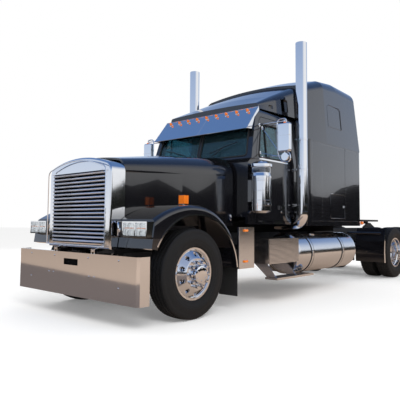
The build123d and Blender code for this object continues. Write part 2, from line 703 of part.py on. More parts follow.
def pane_outline(s, inset):
    """One of the two windscreen panes, in the windscreen's plane."""
    i = inset
    with BuildSketch(Plane.XY) as outline:
        with BuildLine():
            Polyline((s * (22 + i), 40 + i), (s * (CAB_HALF - 95 - i), 40 + i), (s * (CAB_HALF - 155 - i), WS_RISE - 30 - i),
                     (s * (22 + i), WS_RISE - 30 - i), close=True)
        make_face()
    return outline.sketch


with BuildPart() as cab:
    with BuildSketch(side_plane(CAB_HALF)):
        add(cab_side(0))
    extrude(amount=2 * CAB_HALF)
    with BuildSketch(cross_plane(at(CAB_REAR))):
        add(cab_front(0, CAB_BOT))
    extrude(amount=COWL - CAB_REAR, mode=Mode.INTERSECT)
    with BuildPart(mode=Mode.PRIVATE) as cab_room:
        with BuildSketch(side_plane(CAB_HALF)):
            add(cab_side(CAB_T))
        extrude(amount=2 * CAB_HALF)
        with BuildSketch(cross_plane(at(CAB_REAR))):
            add(cab_front(CAB_T, FLOOR_Z))
        extrude(amount=COWL - CAB_REAR, mode=Mode.INTERSECT)
    add(cab_room.part, mode=Mode.SUBTRACT)
    # under-floor space between the side sills
    with Locations((at((COWL + CAB_REAR) / 2), 0, (CAB_BOT + FLOOR_Z - 40) / 2)):
        Box(COWL - CAB_REAR + 200, 2 * (CAB_HALF - CAB_T), FLOOR_Z - 40 - CAB_BOT, mode=Mode.SUBTRACT)
    # tunnel over the engine and gearbox
    with Locations((at((COWL + CAB_REAR) / 2), 0, 1180)):
        Box(COWL - CAB_REAR + 200, 2 * ENGINE_HALF + 60, 160, mode=Mode.SUBTRACT)
    for y in (CAB_HALF, -CAB_HALF + 200):
        with BuildSketch(side_plane(y)):
            add(door_outline(RUN))
        extrude(amount=200, mode=Mode.SUBTRACT)
    for s in (1, -1):
        with BuildSketch(WS_PLANE):
            add(pane_outline(s, 0))
        extrude(amount=120, both=True, mode=Mode.SUBTRACT)
    # notches for the exhaust elbows
    with Locations((at(STACK_X), 0, CAB_BOT)):
        Box(2 * STACK_R + 80, 2 * CAB_HALF + 10, 2 * (FLOOR_Z - 40 - CAB_BOT), mode=Mode.SUBTRACT)
    for s in (-1, 1):
        with Locations((at(STACK_X), s * (CAB_HALF - 20), CAB_BOT)):
            Box(2 * STACK_R + 80, 50, 2 * (FLOOR_Z - 24 - CAB_BOT), mode=Mode.SUBTRACT)
    # mounts on the frame
    for station in (-1500, -2250):
        for s in (-1, 1):
            with Locations((at(station), s * 402, (RAIL_TOP + FLOOR_Z - 40) / 2)):
                Box(90, 50, FLOOR_Z - 40 - RAIL_TOP)
    # door hinge pins and their ears
    for s in (-1, 1):
        for z in HINGE_HEIGHTS:
            with Locations((at(DOOR_PIN_X), s * DOOR_PIN_Y, z)):
                Cylinder(6, 110)
            for side in (-1, 1):
                with Locations((at(DOOR_PIN_X + 16), s * (CAB_HALF + 14), z + side * 46)):
                    Box(36, 28, 18)
keep(cab.part, "cab")

with BuildPart() as glass:
    for s in (1, -1):
        with BuildSketch(WS_PLANE.offset(-18)):
            add(pane_outline(s, FIT))
        extrude(amount=8)
keep(glass.part, "windscreen")


# Doors

with BuildPart() as door:
    with BuildSketch(side_plane(CAB_HALF)):
        add(door_outline(0))
    extrude(amount=220)
    with BuildSketch(cross_plane(at(CAB_REAR))):
        add(cab_front(0, CAB_BOT))
    extrude(amount=COWL - CAB_REAR, mode=Mode.INTERSECT)
    with BuildSketch(cross_plane(at(CAB_REAR))):
        add(cab_front(DOOR_T, CAB_BOT - 200))
    extrude(amount=COWL - CAB_REAR, mode=Mode.SUBTRACT)
    with BuildSketch(side_plane(CAB_HALF + 10)):
        add(window_outline(0))
    extrude(amount=240, mode=Mode.SUBTRACT)
    # handle
    with Locations((at(-2040), CAB_HALF + 16, 1350)):
        Box(110, 32, 60)
    # hinge barrels on their leaves
    for z in HINGE_HEIGHTS:
        with Locations((at(DOOR_PIN_X), DOOR_PIN_Y, z)):
            Cylinder(12, 70)
        with Locations((at(DOOR_PIN_X - 27), CAB_HALF + 8, z)):
            Box(54, 16, 70)
        with Locations((at(DOOR_PIN_X), DOOR_PIN_Y, z)):
            Cylinder(6 + FIT, 80, mode=Mode.SUBTRACT)
keep(door.part, "door_left")
keep(mirror(door.part, about=Plane.XZ), "door_right")

with BuildPart() as door_glass:
    with BuildSketch(side_plane(CAB_HALF)):
        add(window_outline(FIT))
    extrude(amount=220)
    with BuildSketch(cross_plane(at(CAB_REAR))):
        add(cab_front(18, CAB_BOT))
    extrude(amount=COWL - CAB_REAR, mode=Mode.INTERSECT)
    with BuildSketch(cross_plane(at(CAB_REAR))):
        add(cab_front(26, CAB_BOT - 200))
    extrude(amount=COWL - CAB_REAR, mode=Mode.SUBTRACT)
keep(door_glass.part, "door_glass_left")
keep(mirror(door_glass.part, about=Plane.XZ), "door_glass_right")

MIRROR_X = -1530
MIRROR_Y = CAB_HALF + 378
MIRROR_TUBE = 11
MIRROR_ARMS = (2535, 2055)      # heights of the arms


def door_face(z):
    """The y of the door's outer face at this height above the belt."""
    return CAB_HALF - CAB_LEAN * (z - BELT_Z) / (LEAN_TOP - BELT_Z)


with BuildPart() as mirror_arm:
    with Locations((at(MIRROR_X), MIRROR_Y, 2305)):
        Box(64, 190, 400)
    fillet(mirror_arm.edges().filter_by(Axis.X), 26)
    fillet(mirror_arm.faces().sort_by(Axis.X)[-1].edges(), 18)
    # upright behind the head and an arm at each end of it
    with Locations((at(MIRROR_X - 10), MIRROR_Y, sum(MIRROR_ARMS) / 2)):
        Cylinder(MIRROR_TUBE, MIRROR_ARMS[0] - MIRROR_ARMS[1] + 2 * MIRROR_TUBE)
    for z in MIRROR_ARMS:
        foot = door_face(z - MIRROR_TUBE) + FIT
        with BuildSketch(Plane(origin=(at(MIRROR_X - 10), foot, z), x_dir=(1, 0, 0), z_dir=(0, 1, 0))):
            Circle(MIRROR_TUBE - 2)
        extrude(amount=MIRROR_Y - foot)
    # round mirror under the head
    with Locations((at(MIRROR_X - 4), MIRROR_Y + 10, 2035)):
        Cylinder(55, 26, rotation=(0, 90, 0))
keep(mirror_arm.part, "mirror_left")
keep(mirror(mirror_arm.part, about=Plane.XZ), "mirror_right")


# Sleeper and raised roof

with BuildPart() as sleeper:
    long = SLEEPER_FRONT - SLEEPER_REAR
    with Locations((at((SLEEPER_FRONT + SLEEPER_REAR) / 2), 0, (SLEEPER_BOT + SEAM_Z) / 2)):
        Box(long, 2 * SLEEPER_HALF, SEAM_Z - SLEEPER_BOT)
    fillet(sleeper.edges().filter_by(Axis.Z), 55)
    with Locations((at((SLEEPER_FRONT + SLEEPER_REAR) / 2), 0, (FLOOR_Z + SEAM_Z) / 2 + 50)):
        Box(long - 2 * CAB_T, 2 * (SLEEPER_HALF - CAB_T), SEAM_Z - FLOOR_Z + 100, mode=Mode.SUBTRACT)
    with Locations((at((SLEEPER_FRONT + SLEEPER_REAR) / 2), 0, (SLEEPER_BOT + FLOOR_Z - 40) / 2)):
        Box(long - 2 * CAB_T, 2 * (SLEEPER_HALF - CAB_T), FLOOR_Z - 40 - SLEEPER_BOT, mode=Mode.SUBTRACT)
    # opening through to the cab
    with Locations((at(SLEEPER_FRONT), 0, (FLOOR_Z + SEAM_Z) / 2 + 50)):
        Box(300, 2 * (CAB_HALF - CAB_T - 120), SEAM_Z - FLOOR_Z + 100, mode=Mode.SUBTRACT)
    # luggage door outlines on both sides
    for s in (1, -1):
        with BuildSketch(side_plane(SLEEPER_HALF + 1 if s > 0 else 4 - SLEEPER_HALF)):
            with Locations((at(-3655), 1415)):
                RectangleRounded(530, 410, 30)
                RectangleRounded(520, 400, 26, mode=Mode.SUBTRACT)
        extrude(amount=5, mode=Mode.SUBTRACT)
    # mounts on the frame
    for station in (SLEEPER_FRONT - 240, SLEEPER_REAR + 200):
        for s in (-1, 1):
            with Locations((at(station), s * 395, (RAIL_TOP + FLOOR_Z - 40) / 2)):
                Box(120, 70, FLOOR_Z - 40 - RAIL_TOP)
keep(sleeper.part, "sleeper")

ROOF_SECTIONS = (  # station, foot half width, shoulder half width, shoulder height, corner radius, crown
    (-1600, 925, 905, 2850, 40, 24),
    (-2000, 950, 925, 2960, 110, 45),
    (-2662, 985, 950, 3205, 150, 60),
)
CAP_DEPTH = SLEEPER_FRONT - SLEEPER_REAR
CAP_SECTIONS = (  # the same, above the sleeper
    (SLEEPER_FRONT, 1120, 1040, 3225, 160, 65),
    (SLEEPER_FRONT - 0.33 * CAP_DEPTH, 1134, 1068, 3400, 200, 75),
    (SLEEPER_FRONT - 0.59 * CAP_DEPTH, 1134, 1050, 3440, 230, 75),
    (SLEEPER_REAR, 1134, 1030, 3420, 240, 70),
)


def roof_section(station, foot, half, shoulder, r, crown, base, inset):
    """One outline of the roof moulding, closed along its foot."""
    i = inset
    with BuildSketch(cross_plane(at(station))) as sketch:
        with BuildLine():
            w, z, k = half - i, shoulder - i * 0.8, r - i * 0.2
            top = z + k
            Line((foot - i, base), (w, z))
            ThreePointArc((w, z), (w - k * 0.293, z + k * 0.707), (w - k, top))
            ThreePointArc((w - k, top), (0, top + crown), (k - w, top))
            ThreePointArc((k - w, top), (k * 0.293 - w, z + k * 0.707), (-w, z))
            Polyline((-w, z), (i - foot, base), (foot - i, base))
        make_face()
    return sketch.sketch


FAIRING_BASE = CAB_ROOF
with BuildPart() as roof:
    loft([roof_section(*row, FAIRING_BASE, 0) for row in ROOF_SECTIONS], ruled=True)
    loft([roof_section(*row, SEAM_Z, 0) for row in CAP_SECTIONS], ruled=True)
    rows = [(x + (-30 if n == 0 else 30 if n == len(CAP_SECTIONS) - 1 else 0), *rest) for n, (x, *rest) in enumerate(CAP_SECTIONS)]
    loft([roof_section(*row, SEAM_Z - 20, CAB_T) for row in rows], ruled=True, mode=Mode.SUBTRACT)
    inner = [(x + (-80 if n == 0 else 32 if n == len(ROOF_SECTIONS) - 1 else 0), *rest) for n, (x, *rest) in enumerate(ROOF_SECTIONS)]
    loft([roof_section(*row, FAIRING_BASE - 20, CAB_T) for row in inner], ruled=True, mode=Mode.SUBTRACT)
    # hollows in the sides of the moulding, ahead of the sleeper
    for s in (1, -1):
        for station, low, high, r in ((-1905, 2850, 2905, 60), (-2260, 2860, 3060, 90)):
            with Locations((at(station), s * 962, (low + high) / 2)):
                Cylinder(r, high - low, rotation=(s * 4, 0, 0), mode=Mode.SUBTRACT)
keep(roof.part, "roof_cap")


# Sun visor and its lamps

with BuildPart() as visor:
    with BuildSketch(side_plane(960)):
        with BuildLine():
            Polyline((at(-1262), 2455), (at(-1550), 2812), (at(-1556), 2807), (at(-1268), 2450), close=True)
        make_face()
    extrude(amount=1920)
    for s in (1, -1):
        with BuildSketch(side_plane(960 if s > 0 else -954)):
            with BuildLine():
                Polyline((at(-1262), 2455), (at(-1546), 2808), (at(-1560), 2780), (at(-1556), 2752),
                         (at(-1450), 2640), (at(-1400), 2460), close=True)
            make_face()
        extrude(amount=6)
    # brackets to the cab roof
    for y in (-590, 10, 610):
        with BuildSketch(side_plane(y)):
            with BuildLine():
                Polyline((at(-1530), 2781), (at(-1548), 2800), (at(-1608), 2780), (at(-1576), 2760), close=True)
            make_face()
        extrude(amount=20)
keep(visor.part, "sun_visor")

VISOR_LAMPS = [200 * n for n in range(-4, 5)]
LAMP_LINE = Vector(at(-1505), 0, 2756)      # on the visor's outer face
VISOR_OUT = Vector(357, 0, 288).normalized()
with BuildPart() as markers:
    for y in VISOR_LAMPS:
        with BuildSketch(Plane(origin=LAMP_LINE + Vector(0, y, 0) + VISOR_OUT * FIT, x_dir=(0, 1, 0), z_dir=VISOR_OUT)):
            Circle(24)
        extrude(amount=20)
        with BuildSketch(Plane(origin=LAMP_LINE + Vector(0, y, 0) + VISOR_OUT * 20, x_dir=(0, 1, 0), z_dir=VISOR_OUT)):
            Circle(24)
        extrude(amount=26, taper=28)
keep(markers.part, "marker_lamps")


# Pieces beside the frame

with BuildPart() as cleaners:
    with BuildSketch(cross_plane(at(CLEANER_X))):
        with BuildLine():
            section = [(0, 1252), (96, 1256), (CLEANER_R, 1284), (CLEANER_R, 1350), (CLEANER_R + 5, 1352), (CLEANER_R + 5, 1386),
                       (CLEANER_R, 1388), (CLEANER_R, 1720), (CLEANER_R + 5, 1722), (CLEANER_R + 5, 1756), (CLEANER_R, 1758),
                       (CLEANER_R - 12, 1800), (CLEANER_R - 12, 1880), (150, 1884), (150, 1922), (110, 1950), (0, 1958)]
            Polyline(*[(CLEANER_Y + r, z) for r, z in section], close=True)
        make_face()
    revolve(axis=Axis((at(CLEANER_X), CLEANER_Y, 0), (0, 0, 1)))
    with Locations((at(CLEANER_X + 20), CAB_HALF + 30, 1560)):
        Box(80, 60, 300)
    mirror(about=Plane.XZ)
keep(cleaners.part, "air_cleaners")

with BuildPart() as stacks:
    bend = 150
    low = 1108
    with BuildSketch(Plane.XY.offset(low + bend)):
        with Locations((at(STACK_X), STACK_Y)):
            Circle(STACK_R)
            Circle(STACK_R - 4, mode=Mode.SUBTRACT)
    extrude(amount=STACK_TOP - low - bend)
    with BuildSketch(Plane.XY.offset(low + bend)):
        with Locations((at(STACK_X), STACK_Y)):
            Circle(STACK_R)
            Circle(STACK_R - 4, mode=Mode.SUBTRACT)
    revolve(axis=Axis((at(STACK_X), STACK_Y - bend, low + bend), (1, 0, 0)), revolution_arc=-90)
    with BuildSketch(Plane(origin=(at(STACK_X), STACK_Y - bend, low), x_dir=(1, 0, 0), z_dir=(0, -1, 0))):
        Circle(STACK_R)
        Circle(STACK_R - 4, mode=Mode.SUBTRACT)
    extrude(amount=STACK_Y - bend - 470)
    # stand-offs to the cab side
    for z in (1400, 1950):
        with Locations((at(STACK_X), CAB_HALF + 18, z)):
            Box(60, 36, 40)
    mirror(about=Plane.XZ)
keep(stacks.part, "exhaust_stacks")

with BuildPart() as tanks:
    with BuildSketch(Plane(origin=(at(TANK_REAR), TANK_Y, TANK_Z), x_dir=(0, 1, 0), z_dir=(1, 0, 0))):
        Circle(TANK_R)
    extrude(amount=TANK_FRONT - TANK_REAR)
    fillet(tanks.edges().filter_by(GeomType.CIRCLE), 45)
    for share in STRAP_SHARES:
        station = TANK_FRONT - share * (TANK_FRONT - TANK_REAR)
        with BuildSketch(cross_plane(at(station - 32))):
            with Locations((TANK_Y, TANK_Z)):
                Circle(TANK_R + 7)
        extrude(amount=64)
        with BuildSketch(cross_plane(at(station - 40))):
            with BuildLine():
                Polyline((RAIL_OUT, RAIL_TOP - 20), (RAIL_OUT, TANK_Z - TANK_R - 12), (TANK_Y - 120, TANK_Z - TANK_R - 12),
                         (TANK_Y - 120, TANK_Z - TANK_R + 60), (TANK_Y - TANK_R + 10, TANK_Z), (TANK_Y - TANK_R + 60, RAIL_TOP - 60),
                         (TANK_Y - TANK_R, RAIL_TOP - 20), close=True)
            make_face()
        extrude(amount=80)
    mirror(about=Plane.XZ)
keep(tanks.part, "fuel_tanks")

with BuildPart() as boxes:
    with Locations((at((BOX_FRONT + BOX_REAR) / 2), (BOX_OUT + BOX_IN) / 2, (BOX_TOP + BOX_BOT) / 2)):
        Box(BOX_FRONT - BOX_REAR, BOX_OUT - BOX_IN, BOX_TOP - BOX_BOT)
    for station in (BOX_FRONT - 150, BOX_REAR + 150):
        with Locations((at(station), (RAIL_OUT + BOX_IN) / 2, 820)):
            Box(80, BOX_IN - RAIL_OUT, 100)
    mirror(about=Plane.XZ)
keep(boxes.part, "side_boxes")

STEP_Z = 355
with BuildPart() as steps:
    with Locations((at(-2110), 1137, STEP_Z - 15)):
        Box(1020, 206, 30)
    with Locations((at(-2110), 1137, STEP_Z)):
        with GridLocations(165, 90, 6, 2):
            Box(130, 62, 16, mode=Mode.SUBTRACT)
    for station in (-1640, -2160):
        with BuildSketch(cross_plane(at(station - 6))):
            with BuildLine():
                Polyline((BOX_OUT - 420, BOX_BOT), (BOX_OUT - 190, BOX_BOT), (1200, STEP_Z), (1040, STEP_Z), close=True)
            make_face()
        extrude(amount=12)
    mirror(about=Plane.XZ)
keep(steps.part, "steps")

KICK_FRONT = HINGE_X - FENDER_SWEEP - RUN       # clear of the fender as it tilts
KICK_REAR = -1125
KICK_BOT, KICK_TOP = 530, 1063
with BuildPart() as kicks:
    with Locations((at((KICK_FRONT + KICK_REAR) / 2), 1176, (KICK_BOT + KICK_TOP) / 2)):
        Box(KICK_FRONT - KICK_REAR, 38, KICK_TOP - KICK_BOT)
    with Locations((at(KICK_REAR + 15), 1080, (KICK_BOT + KICK_TOP) / 2)):
        Box(30, 230, KICK_TOP - KICK_BOT)
    fillet(kicks.edges().filter_by(Axis.Z).filter_by(lambda e: e.center().Y > 1190), 14)
    with Locations((at(-960), (RAIL_OUT + 1160) / 2, 800)):
        Box(60, 1160 - RAIL_OUT, 60)
    # lamp seats in the outer face
    for z in (622, 1020):
        with Locations((at(-925), 1197, z)):
            Cylinder(22, 12, rotation=(90, 0, 0))
    mirror(about=Plane.XZ)
keep(kicks.part, "kick_panels")

with BuildPart() as quarter:
    with BuildSketch(side_plane(1222)):
        with BuildLine():
            ThreePointArc((AXLE_R1 + 640, 345), (AXLE_R1 + 645, 700), (AXLE_R1 + 560, 1035))
            Line((AXLE_R1 + 560, 1035), (AXLE_R1 + 556, 1031))
            ThreePointArc((AXLE_R1 + 556, 1031), (AXLE_R1 + 639, 700), (AXLE_R1 + 634, 345))
            Line((AXLE_R1 + 634, 345), (AXLE_R1 + 640, 345))
        make_face()
    extrude(amount=1222 - 600)
    with BuildSketch(Plane(origin=(AXLE_R1 + 665, RAIL_OUT, 930), x_dir=(1, 0, 0), z_dir=(0, 1, 0))):
        Circle(22)
    extrude(amount=1150 - RAIL_OUT)
    for y in (680, 1060):
        with Locations((AXLE_R1 + 628, y, 930)):
            Box(70, 50, 30)
    mirror(about=Plane.XZ)
keep(quarter.part, "quarter_fenders")

FLAP_OUT = DUAL_OUT + TYRE_HALF - 7.5
with BuildPart() as flaps:
    with Locations((at(-830), 985, (180 + 535) / 2)):
        Box(12, 300, 535 - 180)
    with BuildSketch(cross_plane(at(-850))):
        with BuildLine():
            Polyline((RAIL_OUT, 830), (RAIL_OUT, 770), (835, 535), (1140, 535), (1140, 585), (850, 585), close=True)
        make_face()
    extrude(amount=40)
    with Locations((REAR_END + 40, FLAP_OUT - 300, (150 + 800) / 2)):
        Box(12, 600, 800 - 150)
    with Locations((REAR_END + 40, (RAIL_OUT + FLAP_OUT) / 2, 830)):
        Box(40, FLAP_OUT - RAIL_OUT, 60)
    mirror(about=Plane.XZ)
keep(flaps.part, "mudflaps")

with BuildPart() as tail_lamps:
    for y in (150, 290):
        with Locations((REAR_END + 15, y, 900)):
            Cylinder(52, 30, rotation=(0, 90, 0))
    mirror(about=Plane.XZ)
keep(tail_lamps.part, "tail_lamps")


# Cab interior

with BuildPart() as seats:
    with BuildSketch(side_plane(780)):
        with BuildLine():
            Polyline((at(-2130), FLOOR_Z + FIT), (at(-1850), FLOOR_Z + FIT), (at(-1830), 1560), (at(-1640), 1580), (at(-1640), 1700),
                     (at(-2080), 1680), (at(-2190), 2330), (at(-2310), 2340), (at(-2230), 1560), close=True)
        make_face()
    extrude(amount=500)
    mirror(about=Plane.XZ)
keep(seats.part, "seats")

with BuildPart() as dash:
    with BuildSketch(side_plane(CAB_HALF - CAB_T - 20)):
        with BuildLine():
            Polyline((at(COWL - CAB_T), 1500), (at(COWL - CAB_T), 1895), (at(-1345), 1980), (at(-1500), 1960),
                     (at(-1560), 1880), (at(-1480), 1500), close=True)
        make_face()
    extrude(amount=2 * (CAB_HALF - CAB_T - 20))
    # steering column and wheel
    hub = Vector(at(-1665), 480, 1975)
    column = Vector(180, 0, -80).normalized()
    with BuildSketch(Plane(origin=hub, x_dir=(0, 1, 0), z_dir=column)):
        Circle(26)
    extrude(amount=190)
    with BuildSketch(Plane(origin=hub, x_dir=(0, 1, 0), z_dir=column)):
        Circle(228)
        Circle(200, mode=Mode.SUBTRACT)
        with PolarLocations(0, 3, start_angle=90):
            with Locations((105, 0)):
                Rectangle(200, 32)
        Circle(50)
    extrude(amount=24)
keep(dash.part, "dashboard")


# Fifth wheel coupling

FIFTH_X = REAR_1 - 500
FIFTH_TOP = 1215
PIVOT_Z = 1125
with BuildPart() as fifth_base:
    for s in (-1, 1):
        with BuildSketch(side_plane(s * 400 + 22)):
            with BuildLine():
                Polyline((at(FIFTH_X + 300), RAIL_TOP), (at(FIFTH_X + 300), RAIL_TOP + 25), (at(FIFTH_X + 60), PIVOT_Z + 20),
                         (at(FIFTH_X - 60), PIVOT_Z + 20), (at(FIFTH_X - 300), RAIL_TOP + 25), (at(FIFTH_X - 300), RAIL_TOP), close=True)
            make_face()
            with Locations((at(FIFTH_X), PIVOT_Z)):
                Circle(25 + FIT, mode=Mode.SUBTRACT)
        extrude(amount=44)
keep(fifth_base.part, "fifth_wheel_base")

KINGPIN_R = 25.6
with BuildPart() as fifth:
    with BuildSketch(Plane.XY.offset(FIFTH_TOP - 40)):
        with Locations((at(FIFTH_X), 0)):
            Rectangle(940, 880)
        with BuildLine():
            Polyline((at(FIFTH_X - 480), -150), (at(FIFTH_X - 480), 150), (at(FIFTH_X - 20), 17), (at(FIFTH_X - 20), -17), close=True)
        make_face(mode=Mode.SUBTRACT)
        with Locations((at(FIFTH_X), 0)):
            Circle(KINGPIN_R, mode=Mode.SUBTRACT)
    extrude(amount=40)
    for s in (-1, 1):
        with BuildSketch(Plane(origin=(at(FIFTH_X), s * 340, PIVOT_Z), x_dir=(1, 0, 0), z_dir=(0, s, 0))):
            Circle(25)
        extrude(amount=82)
        with Locations((at(FIFTH_X), s * 340, PIVOT_Z + 25)):
            Box(160, 40, 51)
keep(fifth.part, "fifth_wheel")
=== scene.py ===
"""Looks of a long-nose road tractor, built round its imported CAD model. Metres, +X forward, +Y left, +Z up."""

import math
from math import cos, pi, radians, sin

import bmesh
import bpy
from mathutils import Matrix, Vector


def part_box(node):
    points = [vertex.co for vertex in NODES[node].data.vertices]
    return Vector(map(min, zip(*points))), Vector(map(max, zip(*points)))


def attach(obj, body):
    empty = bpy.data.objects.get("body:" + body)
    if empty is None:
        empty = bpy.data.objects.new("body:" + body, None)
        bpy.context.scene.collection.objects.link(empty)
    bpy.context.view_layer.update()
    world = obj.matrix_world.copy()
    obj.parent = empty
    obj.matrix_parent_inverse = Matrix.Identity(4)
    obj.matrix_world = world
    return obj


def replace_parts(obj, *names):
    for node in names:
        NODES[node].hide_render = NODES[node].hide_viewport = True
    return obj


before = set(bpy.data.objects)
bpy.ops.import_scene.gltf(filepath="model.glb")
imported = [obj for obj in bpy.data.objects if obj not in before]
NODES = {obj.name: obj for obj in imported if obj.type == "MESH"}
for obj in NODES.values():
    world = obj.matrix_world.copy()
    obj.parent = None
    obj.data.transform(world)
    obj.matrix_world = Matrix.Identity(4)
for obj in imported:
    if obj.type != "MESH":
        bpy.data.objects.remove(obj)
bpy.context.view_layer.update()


def mid(node):
    """Middle of a node's box."""
    low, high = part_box(node)
    return [(a + b) / 2 for a, b in zip(low, high)]


# Driving places, from the frame
AXLE_F = mid("tyre_front_left")[0]
AXLE_R1 = mid("tyres_rear_1_left")[0]
AXLE_R2 = mid("tyres_rear_2_left")[0]
AXLE_Z = mid("tyre_front_left")[2]
TRACK_F = mid("tyre_front_left")[1]
DUAL_MID = mid("tyres_rear_1_left")[1]
TYRE_R = 0.527
TYRE_HALF = 0.1395
FLANGE_R = 0.303
BEAD_R = 0.290
DISC_OUT = 0.168
STUD_R = 0.142875
CAB_HALF = 1.025
SLEEPER_HALF = 1.144
SEAM_Z = 2.47          # foot of the roof cap
SHOULDER_Z = 3.42
CAP_FOOT = 1.134       # half widths of the roof cap at its foot and shoulder
CAP_SHOULDER = 1.06
BUMPER_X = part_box("bumper")[1][0]
LEFT_RIGHT = (("left", 1), ("right", -1))


def at(ahead):
    """The x of a station this far ahead of the front axle."""
    return AXLE_F + ahead


# Materials

def shader(name, colour, metallic=0.0, rough=0.5, **more):
    """A principled material. more holds further socket values by their names with underscores."""
    mat = bpy.data.materials.new(name)
    mat.use_nodes = True
    bsdf = mat.node_tree.nodes["Principled BSDF"]
    bsdf.inputs["Base Color"].default_value = (*colour, 1)
    bsdf.inputs["Metallic"].default_value = metallic
    bsdf.inputs["Roughness"].default_value = rough
    for key, value in more.items():
        bsdf.inputs[key.replace("_", " ")].default_value = value
    return mat


def add_noise(mat, scale, bump, rough_low=None, rough_high=None, stretch=(1, 1, 1), detail=4):
    """Fine surface noise: a bump, and a roughness that wanders between two values."""
    tree = mat.node_tree
    bsdf = tree.nodes["Principled BSDF"]
    where = tree.nodes.new("ShaderNodeTexCoord")
    mapping = tree.nodes.new("ShaderNodeMapping")
    mapping.inputs["Scale"].default_value = stretch
    noise = tree.nodes.new("ShaderNodeTexNoise")
    noise.inputs["Scale"].default_value = scale
    noise.inputs["Detail"].default_value = detail
    tree.links.new(where.outputs["Object"], mapping.inputs["Vector"])
    tree.links.new(mapping.outputs["Vector"], noise.inputs["Vector"])
    if bump:
        relief = tree.nodes.new("ShaderNodeBump")
        relief.inputs["Strength"].default_value = bump
        relief.inputs["Distance"].default_value = 0.002
        tree.links.new(noise.outputs["Fac"], relief.inputs["Height"])
        tree.links.new(relief.outputs["Normal"], bsdf.inputs["Normal"])
    if rough_low is not None:
        spread = tree.nodes.new("ShaderNodeMapRange")
        spread.inputs["To Min"].default_value = rough_low
        spread.inputs["To Max"].default_value = rough_high
        tree.links.new(noise.outputs["Fac"], spread.inputs["Value"])
        tree.links.new(spread.outputs["Result"], bsdf.inputs["Roughness"])
    return mat


PAINT = add_noise(shader("body_black", (0.006, 0.006, 0.008), 0, 0.1, Coat_Weight=1.0, Coat_Roughness=0.02),
                  3, 0, 0.07, 0.14)
CHROME = add_noise(shader("bright", (0.83, 0.84, 0.86), 1, 0.05), 6, 0, 0.03, 0.09)
POLISHED = add_noise(shader("polished", (0.74, 0.75, 0.77), 1, 0.16), 40, 0.05, 0.1, 0.24, (0.15, 1, 1))
ALLOY = add_noise(shader("wheel_alloy", (0.78, 0.79, 0.81), 1, 0.12), 30, 0, 0.08, 0.18)
FRAME_BLACK = add_noise(shader("frame_black", (0.018, 0.018, 0.02), 0, 0.45), 60, 0.15, 0.35, 0.6)
ENGINE = add_noise(shader("engine_grey", (0.12, 0.12, 0.125), 0.3, 0.6), 50, 0.3, 0.5, 0.75)
RUBBER = add_noise(shader("flap_rubber", (0.02, 0.02, 0.021), 0, 0.7), 90, 0.1, 0.6, 0.8)
TREAD = add_noise(shader("tread", (0.009, 0.009, 0.0095), 0, 0.6, Specular_IOR_Level=0.35), 120, 0.12, 0.5, 0.75)
CLOTH = add_noise(shader("trim_grey", (0.1, 0.1, 0.105), 0, 0.9, Sheen_Weight=0.3), 400, 0.3, 0.85, 0.95)
PANE = shader("pane", (0.09, 0.24, 0.3), 0, 0.0, Transmission_Weight=0.92, IOR=1.5)
LENS = shader("lens_clear", (0.9, 0.93, 0.95), 0, 0.04, Transmission_Weight=0.9, IOR=1.45)
AMBER = shader("amber", (0.85, 0.2, 0.01), 0, 0.2, Transmission_Weight=0.2, Coat_Weight=0.6,
               Emission_Color=(1, 0.3, 0.02, 1), Emission_Strength=0.12)
RED = shader("red_lens", (0.5, 0.01, 0.01), 0, 0.2, Transmission_Weight=0.2, Coat_Weight=0.6,
             Emission_Color=(1, 0.02, 0.01, 1), Emission_Strength=0.06)
# Flat black that paints shade. It fills hollows, recesses, bores and the space under the cab, where shade falls.
PAINTED_SHADE = shader("painted_shade_black", (0.003, 0.003, 0.003), 0, 0.9, Specular_IOR_Level=0.1)
MIRROR_GLASS = shader("mirror_glass", (0.75, 0.78, 0.8), 1, 0.02)
BRIGHT_SLAT = add_noise(shader("slat_bright", (0.8, 0.82, 0.86), 1, 0.4), 20, 0, 0.34, 0.44)

NODE_LOOKS = {
    PAINT: ("cab", "sleeper", "roof_cap", "hood", "fenders", "door_left", "door_right", "quarter_fenders"),
    CHROME: ("bumper", "grille_shell", "headlight_bezels", "exhaust_stacks", "air_cleaners", "sun_visor", "mirror_left",
             "mirror_right"),
    BRIGHT_SLAT: ("grille_louvres",),
    POLISHED: ("fuel_tanks", "side_boxes", "steps", "kick_panels"),
    FRAME_BLACK: ("frame_rails", "crossmembers", "front_axle", "rear_axles", "suspension", "driveshafts", "knuckle_left",
                  "knuckle_right", "tie_rod", "fifth_wheel_base", "fifth_wheel"),
    ENGINE: ("engine", "radiator"),
    RUBBER: ("mudflaps",),
    CLOTH: ("seats", "dashboard"),
    PANE: ("windscreen", "door_glass_left", "door_glass_right"),
    LENS: ("headlight_lenses",),
    AMBER: ("turn_lamps", "marker_lamps"),
    RED: ("tail_lamps",),
}


def smooth_by_angle(mesh, angle=radians(32)):
    """Smooth shading with sharp edges kept where faces meet at more than the angle."""
    mesh.polygons.foreach_set("use_smooth", [True] * len(mesh.polygons))
    bm = bmesh.new()
    bm.from_mesh(mesh)
    sharp = [len(e.link_faces) != 2 or e.calc_face_angle(0) > angle for e in bm.edges]
    bm.free()
    layer = mesh.attributes.get("sharp_edge") or mesh.attributes.new("sharp_edge", "BOOLEAN", "EDGE")
    layer.data.foreach_set("value", sharp)


for look, names in NODE_LOOKS.items():
    for name in names:
        if name in NODES:
            NODES[name].data.materials.clear()
            NODES[name].data.materials.append(look)
for name, node in NODES.items():
    if name.startswith("wheel"):
        node.data.materials.clear()
        node.data.materials.append(ALLOY)


# Making pieces

